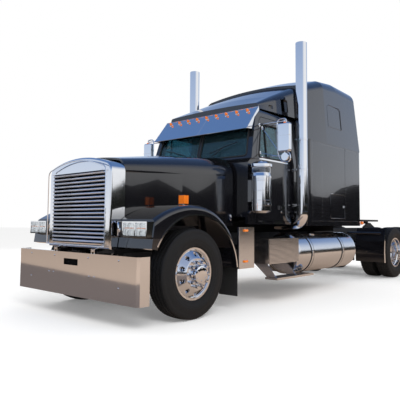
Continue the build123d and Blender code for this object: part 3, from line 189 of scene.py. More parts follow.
def piece(name, verts, faces, mat, body, slot=None, smooth=True, angle=radians(32)):
    """A mesh piece that rides on a CAD body."""
    mesh = bpy.data.meshes.new(name)
    mesh.from_pydata([tuple(v) for v in verts], [], faces)
    mesh.validate()
    bm = bmesh.new()
    bm.from_mesh(mesh)
    bmesh.ops.recalc_face_normals(bm, faces=bm.faces)
    bm.to_mesh(mesh)
    bm.free()
    mesh.materials.append(mat)
    obj = bpy.data.objects.new(name, mesh)
    bpy.context.scene.collection.objects.link(obj)
    if smooth:
        smooth_by_angle(mesh, angle)
    if body:
        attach(obj, body)
    return obj


class Shape:
    """Vertices and faces that grow as simple forms are added."""

    def __init__(self):
        self.verts = []
        self.faces = []

    def add(self, verts, faces):
        start = len(self.verts)
        self.verts += [Vector(v) for v in verts]
        self.faces += [[start + i for i in face] for face in faces]

    def box(self, low, high, turn=None, centre=None):
        """A box between two corners, turned by a matrix about its centre."""
        a, b = Vector(low), Vector(high)
        c = Vector(centre) if centre else (a + b) / 2
        corners = [Vector((x, y, z)) for x in (a.x, b.x) for y in (a.y, b.y) for z in (a.z, b.z)]
        if turn:
            corners = [c + turn @ (v - c) for v in corners]
        self.add(corners, [(0, 1, 3, 2), (4, 6, 7, 5), (0, 4, 5, 1), (2, 3, 7, 6), (0, 2, 6, 4), (1, 5, 7, 3)])

    def lathe(self, profile, centre, axis, count=32):
        """A ring from (along, radius) pairs, turned about an axis through centre. Ends on the axis are closed."""
        axis = Vector(axis).normalized()
        side = axis.orthogonal().normalized()
        other = axis.cross(side)
        centre = Vector(centre)
        rows = []
        for along, radius in profile:
            if radius < 1e-7:
                rows.append([len(self.verts)])
                self.verts.append(centre + axis * along)
                continue
            rows.append(list(range(len(self.verts), len(self.verts) + count)))
            for n in range(count):
                turn = 2 * pi * n / count
                self.verts.append(centre + axis * along + (side * cos(turn) + other * sin(turn)) * radius)
        for low, high in zip(rows, rows[1:]):
            for n in range(count):
                m = (n + 1) % count
                if len(low) == 1 and len(high) == 1:
                    continue
                if len(low) == 1:
                    self.faces.append([low[0], high[n], high[m]])
                elif len(high) == 1:
                    self.faces.append([low[n], high[0], low[m]])
                else:
                    self.faces.append([low[n], high[n], high[m], low[m]])

    def tube(self, points, radius, sides=10, closed=False):
        """A round tube through points, with flat ends unless it is closed on itself."""
        points = [Vector(p) for p in points]
        count = len(points)
        rings = []
        guide = None
        for n, here in enumerate(points):
            before = points[n - 1] if n or closed else here
            after = points[(n + 1) % count] if n + 1 < count or closed else here
            along = (after - before).normalized()
            if guide is None:
                guide = along.orthogonal().normalized()
            guide = (guide - along * guide.dot(along)).normalized()
            other = along.cross(guide)
            rings.append(len(self.verts))
            for k in range(sides):
                turn = 2 * pi * k / sides
                self.verts.append(here + (guide * cos(turn) + other * sin(turn)) * radius)
        pairs = list(zip(rings, rings[1:])) + ([(rings[-1], rings[0])] if closed else [])
        for low, high in pairs:
            for k in range(sides):
                m = (k + 1) % sides
                self.faces.append([low + k, high + k, high + m, low + m])
        if not closed:
            self.faces.append([rings[0] + k for k in range(sides)][::-1])
            self.faces.append([rings[-1] + k for k in range(sides)])

    def flat_strip(self, points, across, width, thick):
        """A strip of rectangular section along points; across is the direction of its width."""
        points = [Vector(p) for p in points]
        across = Vector(across).normalized()
        rings = []
        for n, here in enumerate(points):
            along = (points[min(n + 1, len(points) - 1)] - points[max(n - 1, 0)]).normalized()
            up = across.cross(along).normalized()
            rings.append(len(self.verts))
            for a, b in ((-1, -1), (1, -1), (1, 1), (-1, 1)):
                self.verts.append(here + across * a * width / 2 + up * b * thick / 2)
        for low, high in zip(rings, rings[1:]):
            for k in range(4):
                m = (k + 1) % 4
                self.faces.append([low + k, high + k, high + m, low + m])
        self.faces.append([rings[0] + k for k in range(4)][::-1])
        self.faces.append([rings[-1] + k for k in range(4)])

    def make(self, name, mat, body, slot=None, **more):
        return piece(name, self.verts, self.faces, mat, body, slot, **more)


def rounded(points, radius, steps=5):
    """A polyline whose inner corners are replaced by arcs of about this radius."""
    points = [Vector(p) for p in points]
    out = [points[0]]
    for before, here, after in zip(points, points[1:], points[2:]):
        a = (before - here).normalized()
        b = (after - here).normalized()
        reach = min(radius, (before - here).length / 2, (after - here).length / 2)
        start, end = here + a * reach, here + b * reach
        for n in range(steps + 1):
            t = n / steps
            out.append(start * (1 - t) ** 2 + here * 2 * t * (1 - t) + end * t ** 2)
    out.append(points[-1])
    return out


def rounded_ring(corners, radius):
    """A closed line through corners, each replaced by an arc of about this radius."""
    mids = [(corners[n - 1] + corners[n]) / 2 for n in range(len(corners))]
    out = []
    for n, corner in enumerate(corners):
        out += rounded([mids[n], corner, mids[(n + 1) % len(corners)]], radius)[:-1]
    return out


# Tyres

GROOVE = 0.013
RIBS = (-0.079, -0.027, 0.027, 0.079)    # middles of the grooves round a tread


def tyre_profile(driven):
    """(across, radius, kind) round one tyre's section. kind is 1 on the tread's top, 2 on a shoulder lug."""
    top = []
    half = 0.005 if driven else 0.006
    edge = 0.112
    marks = [-edge]
    for g in RIBS:
        marks += [g - half, g + half]
    marks.append(edge)
    for n in range(0, len(marks), 2):
        a, b = marks[n], marks[n + 1]
        shoulder = n == 0 or n == len(marks) - 2
        for t in (0.0, 0.12, 0.5, 0.88, 1.0):
            y = a + (b - a) * t
            crown = TYRE_R - 0.0075 * (y / edge) ** 2
            low = t in (0.0, 1.0) and not (shoulder and abs(y) > 0.1)
            top.append((y, crown - (GROOVE if low else 0), 0 if low else (2 if shoulder and abs(y) > 0.085 else 1)))
    right = [(0.119, TYRE_R - 0.016, 2), (0.126, TYRE_R - 0.034, 2), (0.128, TYRE_R - 0.052, 0),
             (0.1275, TYRE_R - 0.056, 0), (0.133, 0.45, 0), (0.1365, 0.43, 0), (TYRE_HALF, 0.405, 0), (0.1385, 0.38, 0),
             (0.1375, 0.378, 0), (0.137, 0.37, 0), (0.138, 0.368, 0), (0.131, 0.345, 0), (0.126, 0.333, 0),
             (0.1262, 0.327, 0), (0.12, 0.318, 0), (0.113, FLANGE_R + 0.006, 0), (0.101, FLANGE_R + 0.004, 0),
             (0.0995, BEAD_R + 0.0005, 0)]
    left = [(-y, r, k) for y, r, k in reversed(right)]
    return left + top + right


def tread_height(kind, turn, across, driven):
    """How far a tread point sinks at this turn, for lugs and sipes."""
    if kind == 2:
        count = 46 if driven else 92
        depth = 0.011 if driven else 0.003
        share = 0.3 if driven else 0.25
    elif kind == 1:
        count = 46 if driven else 92
        depth = 0.009 if driven else 0.0
        share = 0.25
    else:
        return 0
    return depth if (turn * count / (2 * pi)) % 1 < share - 1e-6 else 0


def tyre(name, x, middles, body, driven, node):
    """Detailed tyres of one wheel body, which stand for its CAD node."""
    shape = Shape()
    profile = tyre_profile(driven)
    count = 46 * 4 if driven else 92 * 3
    for middle in middles:
        start = len(shape.verts)
        rows = len(profile)
        for n in range(count):
            turn = 2 * pi * n / count
            zig = 0.0035 * (1 if n % 3 == 0 else -1) if not driven else 0.003 * (1 if n % 4 < 2 else -1)
            for y, r, kind in profile:
                sink = tread_height(kind, turn, y, driven)
                wander = zig if abs(y) < 0.09 and r > TYRE_R - 0.03 else 0
                rr = r - sink
                shape.verts.append(Vector((x + rr * cos(turn), middle + y + wander, AXLE_Z + rr * sin(turn))))
        for n in range(count):
            m = (n + 1) % count
            for k in range(rows):
                j = (k + 1) % rows
                shape.faces.append([start + n * rows + k, start + m * rows + k, start + m * rows + j, start + n * rows + j])
    obj = shape.make(name, TREAD, body, "tread", angle=radians(28))
    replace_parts(obj, node)


# Wheel trim: nut covers and hub covers
NUTS = 10

def wheel_trim(name, x, side, face, body, rear):
    """Nut covers on their circle, a hub cover and a valve, with a dark ring of painted shade behind a front wheel's
    hand holes.
    """
    shape = Shape()
    axis = (0, side, 0)
    for n in range(NUTS):
        turn = 2 * pi * n / NUTS
        centre = (x + STUD_R * cos(turn), side * face, AXLE_Z + STUD_R * sin(turn))
        shape.lathe([(0.0, 0.024), (0.006, 0.0245), (0.008, 0.0215), (0.044, 0.020), (0.052, 0.016), (0.0555, 0.0)],
                    centre, axis, 18)
    if rear:
        hub = [(0.0, 0.112), (0.012, 0.111), (0.06, 0.106), (0.068, 0.1), (0.071, 0.088), (0.073, 0.03), (0.074, 0.0)]
        screws = 8
    else:
        hub = [(0.0, 0.112), (0.012, 0.111), (0.05, 0.104), (0.062, 0.098), (0.066, 0.086), (0.069, 0.05), (0.071, 0.0)]
        screws = 6
    shape.lathe(hub, (x, side * face, AXLE_Z), axis, 48)
    for n in range(screws):
        turn = 2 * pi * (n + 0.5) / screws
        centre = (x + 0.074 * cos(turn), side * (face + 0.066), AXLE_Z + 0.074 * sin(turn))
        shape.lathe([(0.0, 0.009), (0.006, 0.009), (0.007, 0.0)], centre, axis, 6)
    shape.make(name, CHROME, body, "bright")
    if not rear:
        # A dark ring behind the disc: painted shade seen through the hand holes.
        behind = Shape()
        behind.lathe([(-0.075, 0.17), (-0.075, 0.25), (-0.077, 0.25), (-0.077, 0.17)], (x, side * face, AXLE_Z), axis,
                     64)
        behind.make(name + "_hollow_painted_shade", PAINTED_SHADE, body, "frame_black", smooth=False)
    valve = Shape()
    valve.tube([(x + 0.19, side * (face - 0.02), AXLE_Z), (x + 0.215, side * (face + 0.02), AXLE_Z)], 0.004, 8)
    valve.make(name + "_valve", POLISHED, body, "polished")


for tag, side in LEFT_RIGHT:
    tyre(f"front_tyre_{tag}", AXLE_F, [TRACK_F * side], f"{tag}_front_wheel", False, f"tyre_front_{tag}")
    wheel_trim(f"front_trim_{tag}", AXLE_F, side, TRACK_F + DISC_OUT, f"{tag}_front_wheel", False)
    for number, x in ((1, AXLE_R1), (2, AXLE_R2)):
        middles = [(DUAL_MID + DISC_OUT) * side, (DUAL_MID - DISC_OUT) * side]
        tyre(f"rear_tyres_{number}_{tag}", x, middles, f"{tag}_rear_wheels_{number}", True, f"tyres_rear_{number}_{tag}")
        wheel_trim(f"rear_trim_{number}_{tag}", x, side, DUAL_MID + 0.022, f"{tag}_rear_wheels_{number}", True)


# Small forms on the body

def both(make):
    """Runs make for the left and the right side."""
    for tag, side in LEFT_RIGHT:
        make(tag, side)


def dome(shape, centre, axis, radius, height, count=12):
    """A low rounded head."""
    rows = [(0.0, radius), (height * 0.45, radius * 0.93), (height * 0.8, radius * 0.66), (height, 0.0)]
    shape.lathe(rows, centre, axis, count)


def rivets(shape, points, axis, radius=0.0045, height=0.0025):
    """A row of small round heads."""
    for point in points:
        shape.lathe([(-0.001, radius), (height * 0.5, radius * 0.9), (height, 0.0)], point, axis, 8)


def line(start, end, count):
    """Evenly spaced points from start to end."""
    a, b = Vector(start), Vector(end)
    return [a + (b - a) * n / (count - 1) for n in range(count)]


def band(shape, path, y, width, thick, side):
    """A flat strip on a plane facing sideways. path holds (x, z) along its inner edge, and the strip lies to its left."""
    path = [Vector(p) for p in path]
    rows = []
    for n, here in enumerate(path):
        along = (path[min(n + 1, len(path) - 1)] - path[max(n - 1, 0)]).normalized()
        out = Vector((-along.y, along.x))
        rows.append((here, here + out * width))
    start = len(shape.verts)
    for a, b in rows:
        for p, depth in ((a, 0.0), (b, 0.0), (b, thick), (a, thick)):
            shape.verts.append(Vector((p.x, (y + depth) * side, p.y)))
    for n in range(len(rows) - 1):
        for k in range(4):
            m = (k + 1) % 4
            i = start + 4 * n
            shape.faces.append([i + k, i + 4 + k, i + 4 + m, i + m])
    shape.faces.append([start + k for k in range(4)])
    shape.faces.append([start + 4 * (len(rows) - 1) + k for k in range(4)])


def arc(a, b, c, count=14):
    """Points on the circle through three (x, z) points, from the first to the last."""
    ax, ay, bx, by, cx, cy = *a, *b, *c
    d = 2 * (ax * (by - cy) + bx * (cy - ay) + cx * (ay - by))
    ux = ((ax * ax + ay * ay) * (by - cy) + (bx * bx + by * by) * (cy - ay) + (cx * cx + cy * cy) * (ay - by)) / d
    uy = ((ax * ax + ay * ay) * (cx - bx) + (bx * bx + by * by) * (ax - cx) + (cx * cx + cy * cy) * (bx - ax)) / d
    r = math.hypot(ax - ux, ay - uy)
    t0, t1, t2 = (math.atan2(p[1] - uy, p[0] - ux) for p in (a, b, c))
    while t1 > t0:
        t1 -= 2 * pi
    while t2 > t0:
        t2 -= 2 * pi
    if t1 < t2:
        t1, t2 = t1 + 2 * pi, t2 + 2 * pi
    turns = [t0 + (t2 - t0) * n / (count - 1) for n in range(count)]
    return [(ux + r * cos(t), uy + r * sin(t)) for t in turns]


# Bumper bolts, and painted shade: a dark box in the recess behind its window
bolts = Shape()
for side in (-1, 1):
    for y, z in ((0.35, 0.71), (0.37, 0.504), (0.47, 0.504), (0.9, 0.71), (0.9, 0.42)):
        dome(bolts, (BUMPER_X - 0.0005, side * y, z), (1, 0, 0), 0.0115, 0.006)
bolts.make("bumper_bolts", POLISHED, "chassis", "polished")
recess = Shape()
# A dark box behind the bumper's window: painted shade of the recess.
recess.box((BUMPER_X - 0.09, -0.16, 0.6), (BUMPER_X - 0.02, 0.16, 0.695))
recess.make("tow_recess_painted_shade", PAINTED_SHADE, "chassis", "frame_black", smooth=False)
pin = Shape()
pin.lathe([(0, 0.02), (0.07, 0.02), (0.072, 0.0)], (BUMPER_X - 0.045, 0, 0.612), (0, 0, 1), 16)
pin.make("tow_pin", FRAME_BLACK, "chassis", "frame_black")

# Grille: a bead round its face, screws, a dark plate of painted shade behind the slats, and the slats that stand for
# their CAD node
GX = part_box("grille_shell")[1][0]
bead = Shape()
half, low, top = 0.598, 0.845, 1.845
edge = top - 0.1
loop = [(GX - 0.001, -half, low), (GX - 0.001, -half, edge - 0.06)]
loop += [(GX - 0.001, -half + 0.012, edge - 0.02), (GX - 0.001, -half + 0.045, edge + 0.008)]
for n in range(13):
    t = -1 + 2 * n / 12
    loop.append((GX - 0.001, t * (half - 0.09), edge + 0.018 + (top - edge - 0.018) * (1 - t * t)))
loop += [(GX - 0.001, half - 0.045, edge + 0.008), (GX - 0.001, half - 0.012, edge - 0.02)]
loop += [(GX - 0.001, half, edge - 0.06), (GX - 0.001, half, low)]
bead.tube(loop, 0.007, 8, closed=True)
bead.box((GX - 0.034, -0.526, 1.7), (GX + 0.001, 0.526, 1.714))
bead.box((GX - 0.034, -0.526, 0.858), (GX + 0.001, 0.526, 0.874))
for y in (-0.57, 0.57):
    dome(bead, (GX - 0.001, y, 0.86), (1, 0, 0), 0.009, 0.005)
for side in (-1, 1):
    for x, z in ((0.655, 1.58), (0.655, 1.53), (0.655, 1.27), (0.655, 1.02)):
        dome(bead, (at(x), side * 0.6348, z), (0, side, 0), 0.0085, 0.005)
bead.make("grille_bead", CHROME, "front_end", "bright")
# A dark plate behind the slats: painted shade in the depth of the grille.
grille_shade = Shape()
grille_shade.box((GX - 0.135, -0.6, 0.86), (GX - 0.13, 0.6, 1.72))
grille_shade.make("grille_painted_shade", PAINTED_SHADE, "front_end", "frame_black", smooth=False)
slats = Shape()
SLATS = 18
OPEN_LOW, OPEN_HIGH, OPEN_HALF = 0.87, 1.705, 0.531
SLAT_SECTION = ((-0.05, -0.011), (-0.004, -0.0115), (0, -0.007), (0, 0.006), (-0.005, 0.0115), (-0.05, 0.013))
SIDES = len(SLAT_SECTION)
SLAT_FACES = [tuple(range(SIDES)), tuple(range(2 * SIDES - 1, SIDES - 1, -1))]
SLAT_FACES += [(k, (k + 1) % SIDES, SIDES + (k + 1) % SIDES, SIDES + k) for k in range(SIDES)]
for n in range(SLATS):
    z = OPEN_LOW + (OPEN_HIGH - OPEN_LOW) * (n + 0.5) / SLATS
    ends = [[(GX - 0.03 + x, y, z + up) for x, up in SLAT_SECTION] for y in (-OPEN_HALF, OPEN_HALF)]
    slats.add(ends[0] + ends[1], SLAT_FACES)
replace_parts(slats.make("grille_slats", BRIGHT_SLAT, "front_end", "bright"), "grille_louvres")

# Hood: middle seam and latches, and the bright edges of the fenders
seam = Shape()
seam.tube([(at(0.6), 0, 1.9005), (at(-0.25), 0, 2.0205), (at(-1.14), 0, 2.1)], 0.004, 6)
seam.make("hood_seam", PAINT, "front_end", "body_black")


def latches(tag, side):
    """A hood latch, and the bright edge of the wheel opening."""
    shape = Shape()
    shape.box((at(-1.1), side * 0.79, 1.16), (at(-1.06), side * 0.815, 1.24))
    shape.tube([(at(-1.08), side * 0.815, 1.23), (at(-1.08), side * 0.828, 1.2), (at(-1.08), side * 0.82, 1.15)], 0.006, 8)
    shape.make(f"hood_latch_{tag}", CHROME, "front_end", "bright")
    shape = Shape()
    path = arc((at(-0.73), 0.56), (at(-0.505), 1.01), (at(-0.01), 1.2), 16)
    path += arc((at(-0.01), 1.2), (at(0.36), 1.112), (at(0.625), 0.85), 16)[1:]
    band(shape, path, 1.2045, 0.018, 0.004, side)
    shape.make(f"fender_edge_{tag}", CHROME, "front_end", "bright")


both(latches)


# Headlights: two framed lamps on each side, ahead of the housing, with a bracket from the grille's side
LAMPS_Y = (0.893, 1.087)
LAMP_Z = 1.042


def frame_of(shape, x, deep, y, z, wide, high, rim):
    """Four bars round a rectangle that faces forward."""
    w, h = wide / 2, high / 2
    shape.box((x, y - w, z + h - rim), (x + deep, y + w, z + h))
    shape.box((x, y - w, z - h), (x + deep, y + w, z - h + rim))
    for s in (-1, 1):
        inner, outer = sorted((s * w, s * (w - rim)))
        shape.box((x, y + inner, z - h + rim), (x + deep, y + outer, z + h - rim))


glasses = Shape()


def headlights(tag, side):
    """Frame, reflectors, amber strips and bracket of one side's lamps; the amber strips are a painted reflection that
    glows a little. Their glasses go into one piece.
    """
    bright, clear, yellow, dark = Shape(), Shape(), Shape(), Shape()
    face = at(0.7525)
    dark.box((face, side * 0.655, 0.96), (face + 0.002, side * 0.775, 1.124))
    frame_of(bright, face, 0.022, side * 0.99, LAMP_Z, 0.4, 0.166, 0.014)
    bright.box((face, side * 0.99 - 0.007, 0.965), (face + 0.018, side * 0.99 + 0.007, 1.119))
    bright.box((face, side * 0.99 - 0.199, 0.96), (face + 0.001, side * 0.99 + 0.199, 1.124))
    bright.box((face - 0.1, side * 1.186, 0.96), (face + 0.02, side * 1.193, 1.124))
    for y in LAMPS_Y:
        bright.box((face, side * y - 0.086, 1.04), (face + 0.011, side * y + 0.086, 1.046))
        for z, r in ((1.0, 0.024), (1.08, 0.02)):
            bright.lathe([(0.001, r + 0.012), (0.007, r + 0.006), (0.009, r)], (face, side * y, z), (1, 0, 0), 24)
            clear.lathe([(0.0, r), (0.004, r * 0.8), (0.006, 0)], (face + 0.004, side * y, z), (1, 0, 0), 20)
        # An amber strip across each lamp: a painted reflection, in the glowing amber material.
        yellow.box((face + 0.001, side * y - 0.075, 1.048), (face + 0.006, side * y + 0.075, 1.058))
        glasses.box((face + 0.012, side * y - 0.088, 0.974), (face + 0.017, side * y + 0.088, 1.11))
    bright.tube(rounded([(at(0.7), side * 0.64, 1.105), (at(0.74), side * 0.67, 1.118), (at(0.765), side * 0.71, 1.1),
                         (at(0.765), side * 0.72, 1.03), (at(0.757), side * 0.7, 0.97)], 0.04), 0.013, 12)
    bright.lathe([(0, 0.03), (0.006, 0.028), (0.012, 0.0)], (at(0.757), side * 0.715, 1.03), (1, 0, 0), 20)
    bright.make(f"headlight_frames_{tag}", CHROME, "front_end", "bright")
    clear.make(f"headlight_bulbs_{tag}", LENS, "front_end", "lens_clear")
    yellow.make(f"headlight_amber_painted_reflection_{tag}", AMBER, "front_end", "amber", smooth=False)
    dark.make(f"headlight_gap_{tag}", PAINT, "front_end", "body_black", smooth=False)


both(headlights)
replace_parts(glasses.make("headlight_glasses", LENS, "front_end", "lens_clear", smooth=False), "headlight_lenses")


# Turn lamps on the fenders, which stand for their CAD node
lamps, feet = Shape(), Shape()
for side in (-1, 1):
    y = side * 1.01
    for low, high in ((0.008, 0.043), (0.047, 0.082)):
        lamps.box((at(low), y - 0.045, 1.337), (at(high), y + 0.045, 1.437))
    for low, high in ((1.327, 1.338), (1.436, 1.441)):
        feet.box((at(0.008), y - 0.046, low), (at(0.082), y + 0.046, high))
    feet.lathe([(0, 0.02), (0.06, 0.015), (0.075, 0.015)], (at(0.045), y, 1.262), (0, 0, 1), 16)
lamp_piece = lamps.make("fender_lamps", AMBER, "front_end", "amber", smooth=False)
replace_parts(lamp_piece, "turn_lamps")
feet.make("fender_lamp_feet", CHROME, "front_end", "bright")

# Visor: middle seam, edge beads, and rims round its lamps
VISOR_LOW = Vector((at(-1.262), 0, 2.455))
VISOR_TOP = Vector((at(-1.55), 0, 2.812))
VISOR_OUT = Vector((0.357, 0, 0.288)).normalized()
rim = Shape()
rim.flat_strip([VISOR_LOW + VISOR_OUT * 0.001, VISOR_TOP + VISOR_OUT * 0.001], (0, 1, 0), 0.022, 0.003)
rim.tube([VISOR_LOW + Vector((0, -0.96, 0)), VISOR_LOW + Vector((0, 0.96, 0))], 0.0065, 8)
rim.tube([VISOR_TOP + Vector((0, -0.96, 0)), VISOR_TOP + Vector((0, 0.96, 0))], 0.0065, 8)
for n in range(-4, 5):
    here = Vector((at(-1.505), 0.2 * n, 2.756))
    rim.lathe([(0.0, 0.033), (0.006, 0.033), (0.01, 0.028), (0.01, 0.0245)], here, VISOR_OUT, 24)
for side in (-1, 1):
    end = Vector((0, side * 0.94, 0))
    rivets(rim, line(VISOR_LOW + VISOR_OUT * 0.001 + end, VISOR_TOP + end, 7), VISOR_OUT)
rim.make("visor_trim", CHROME, "chassis", "bright")

# Windscreen: rubber round the panes, and wipers
WS_LOW = Vector((at(-1.285), 0, 2.03))
WS_UP = Vector((-0.17, 0, 0.61)).normalized()
WS_OUT = Vector((WS_UP.z, 0, -WS_UP.x))
RISE = math.hypot(0.17, 0.61)


def on_screen(y, v, out=0.0):
    """A point on the windscreen, v metres up it."""
    return WS_LOW + Vector((0, y, 0)) + WS_UP * v + WS_OUT * out


gasket, wiper = Shape(), Shape()
for side in (-1, 1):
    corners = [(0.022, 0.04), (0.93, 0.04), (0.87, RISE - 0.03), (0.022, RISE - 0.03)]
    ring = [on_screen(side * y, v, -0.002) for y, v in corners]
    gasket.tube(rounded_ring(ring, 0.05), 0.0125, 8, closed=True)
    root = on_screen(side * 0.22, 0.005, 0.01)
    tip = on_screen(side * 0.5, 0.2, 0.03)
    wiper.tube([root, root + WS_OUT * 0.02, tip], 0.005, 8)
    wiper.lathe([(0, 0.018), (0.015, 0.018), (0.02, 0.0)], root, WS_OUT, 14)
    wiper.tube([on_screen(side * 0.24, 0.12, 0.02), tip, on_screen(side * 0.74, 0.26, 0.02)], 0.006, 6)
gasket.make("screen_rubber", RUBBER, "chassis", "flap_rubber")
wiper.make("wipers", FRAME_BLACK, "chassis", "frame_black")


# Doors: handle, window rubber, vent bar and window bead
def cab_face(z):
    """The y of the cab's side at this height."""
    return CAB_HALF if z < 2.03 else CAB_HALF - 0.065 * (z - 2.03) / 0.68


def door_trim(tag, side):
    """Handle, lock, window rubber and the bright strip below the window."""
    body = f"{tag}_door"
    metal, rubber = Shape(), Shape()
    metal.box((at(-2.1), side * 1.0245, 1.315), (at(-1.98), side * 1.029, 1.385))
    metal.box((at(-2.085), side * 1.04, 1.335), (at(-1.995), side * 1.0605, 1.365))
    metal.box((at(-2.0955), side * 1.02, 1.32), (at(-2.078), side * 1.0605, 1.38))
    metal.lathe([(0, 0.013), (0.006, 0.012), (0.008, 0)], (at(-2.04), side * 1.024, 1.285), (0, side, 0), 16)
    corners = [(-1.475, 2.06), (-1.48, 2.13), (-1.585, 2.56), (-2.215, 2.56), (-2.215, 2.06)]
    ring = [Vector((at(x), side * (cab_face(z) + 0.001), z)) for x, z in corners]
    rubber.tube(rounded_ring(ring, 0.03), 0.01, 8, closed=True)
    rubber.tube([(at(-1.68), side * (cab_face(z) - 0.012), z) for z in (2.06, 2.56)], 0.011, 8)
    metal.flat_strip([(at(x), side * (CAB_HALF + 0.003), 2.035) for x in (-1.47, -2.23)], (0, 0, 1), 0.022, 0.005)
    metal.make(f"door_handle_{tag}", CHROME, body, "bright")
    rubber.make(f"window_rubber_{tag}", RUBBER, body, "flap_rubber")


both(door_trim)


# Mirrors: glass, tube loop, struts and a small lamp
def mirror_trim(tag, side):
    """Trim of one side's mirror, which rides on its door."""
    body = f"{tag}_door"
    x, y = at(-1.53), 1.403
    glass, tube, rubber, lamp_part = Shape(), Shape(), Shape(), Shape()
    glass.box((x - 0.0335, side * (y - 0.083), 2.122), (x - 0.0325, side * (y + 0.083), 2.488))
    glass.lathe([(0, 0.0), (0.001, 0.046)], (x - 0.0185, side * (y + 0.01), 2.035), (1, 0, 0), 28)
    rubber.box((x - 0.0328, side * (y - 0.09), 2.112), (x - 0.028, side * (y + 0.09), 2.498))
    inner = y - 0.118
    loop = ((y + 0.03, 2.512), (y + 0.02, 2.57), (inner, 2.57), (inner, 2.12), (inner + 0.03, 2.02), (y - 0.02, 1.955),
            (y + 0.1, 1.97), (y + 0.085, 2.08), (y + 0.02, 2.11))
    tube.tube(rounded([(x - 0.01, side * out, z) for out, z in loop], 0.06, 7), 0.0095, 10)
    tube.tube([(at(-1.6), side * (cab_face(2.5) + 0.006), 2.5), (x - 0.01, side * inner, 2.14)], 0.007, 8)
    tube.tube([(at(-1.6), side * (cab_face(2.5) + 0.006), 2.5), (x - 0.01, side * inner, 2.5)], 0.007, 8)
    tube.tube([(at(-1.5), side * (cab_face(2.12) + 0.006), 2.12), (x - 0.01, side * (inner + 0.005), 2.05)], 0.007, 8)
    for foot_x, foot_z in ((-1.6, 2.5), (-1.5, 2.12), (-1.54, 2.535), (-1.54, 2.055)):
        foot = (at(foot_x), side * (cab_face(foot_z) + 0.001), foot_z)
        tube.lathe([(-0.004, 0.026), (0.006, 0.024), (0.008, 0.0)], foot, (0, side, 0), 18)
    tube.box((x - 0.036, side * (y - 0.099), 2.33), (x + 0.036, side * (y + 0.099), 2.334))
    lamp_part.lathe([(0, 0.02), (0.01, 0.02), (0.022, 0.013), (0.026, 0)], (x + 0.002, side * (y + 0.015), 2.5),
                    (1, 0, 0.8), 18)
    glass.make(f"mirror_glass_{tag}", MIRROR_GLASS, body, "bright", smooth=False)
    rubber.make(f"mirror_rubber_{tag}", RUBBER, body, "flap_rubber", smooth=False)
    tube.make(f"mirror_tubes_{tag}", CHROME, body, "bright")
    lamp_part.make(f"mirror_lamp_{tag}", AMBER, body, "amber")


both(mirror_trim)


# Air cleaners: bands, clamps, the wires of the intake, and a dark lining of painted shade inside them
def cleaner_trim(tag, side):
    """Trim of one side's air cleaner."""
    x, y = at(-1.3), 1.18
    metal, dark = Shape(), Shape()
    for z in (1.42, 1.55, 1.69):
        metal.lathe([(0, 0.1335), (0.002, 0.1365), (0.01, 0.1365), (0.012, 0.1335)], (x, side * y, z), (0, 0, 1), 48)
    for z in (1.369, 1.739):
        metal.box((x - 0.012, side * (y + 0.13), z - 0.008), (x + 0.03, side * (y + 0.152), z + 0.008))
        metal.tube([(x - 0.03, side * (y + 0.145), z), (x + 0.045, side * (y + 0.145), z)], 0.004, 8)
    # A dark lining inside the intake wires: painted shade.
    dark.lathe([(0, 0.1225), (0.07, 0.1225)], (x, side * y, 1.805), (0, 0, 1), 48)
    wires = 48
    for n in range(wires):
        turn = 2 * pi * n / wires
        metal.tube([(x + 0.1235 * cos(turn), side * y + 0.1235 * sin(turn), z) for z in (1.803, 1.878)], 0.0022, 4)
    metal.lathe([(0, 0.02), (0.012, 0.018), (0.016, 0.0)], (x, side * y, 1.956), (0, 0, 1), 16)
    metal.make(f"cleaner_bands_{tag}", CHROME, "chassis", "bright")
    dark.make(f"cleaner_painted_shade_{tag}", PAINTED_SHADE, "chassis", "frame_black")


both(cleaner_trim)


# Exhaust stacks: clamps, and a dark disc that paints the shade in the bore
def stack_trim(tag, side):
    """Trim of one side's stack."""
    x, y = at(-2.44), 1.147
    metal, dark = Shape(), Shape()
    for z in (1.29, 1.4, 1.95, 2.42):
        metal.lathe([(0, 0.0892), (0.002, 0.0925), (0.024, 0.0925), (0.026, 0.0892)], (x, side * y, z - 0.013),
                    (0, 0, 1), 48)
        metal.box((x + 0.06, side * (y - 0.085), z - 0.009), (x + 0.085, side * (y - 0.045), z + 0.009))
    # A dark disc in the stack's mouth: painted shade of the bore.
    dark.lathe([(0, 0.0845), (0.001, 0.0)], (x, side * y, 3.7), (0, 0, 1), 32)
    metal.make(f"stack_clamps_{tag}", CHROME, "chassis", "bright")
    dark.make(f"stack_bore_painted_shade_{tag}", PAINTED_SHADE, "chassis", "frame_black", smooth=False)


both(stack_trim)


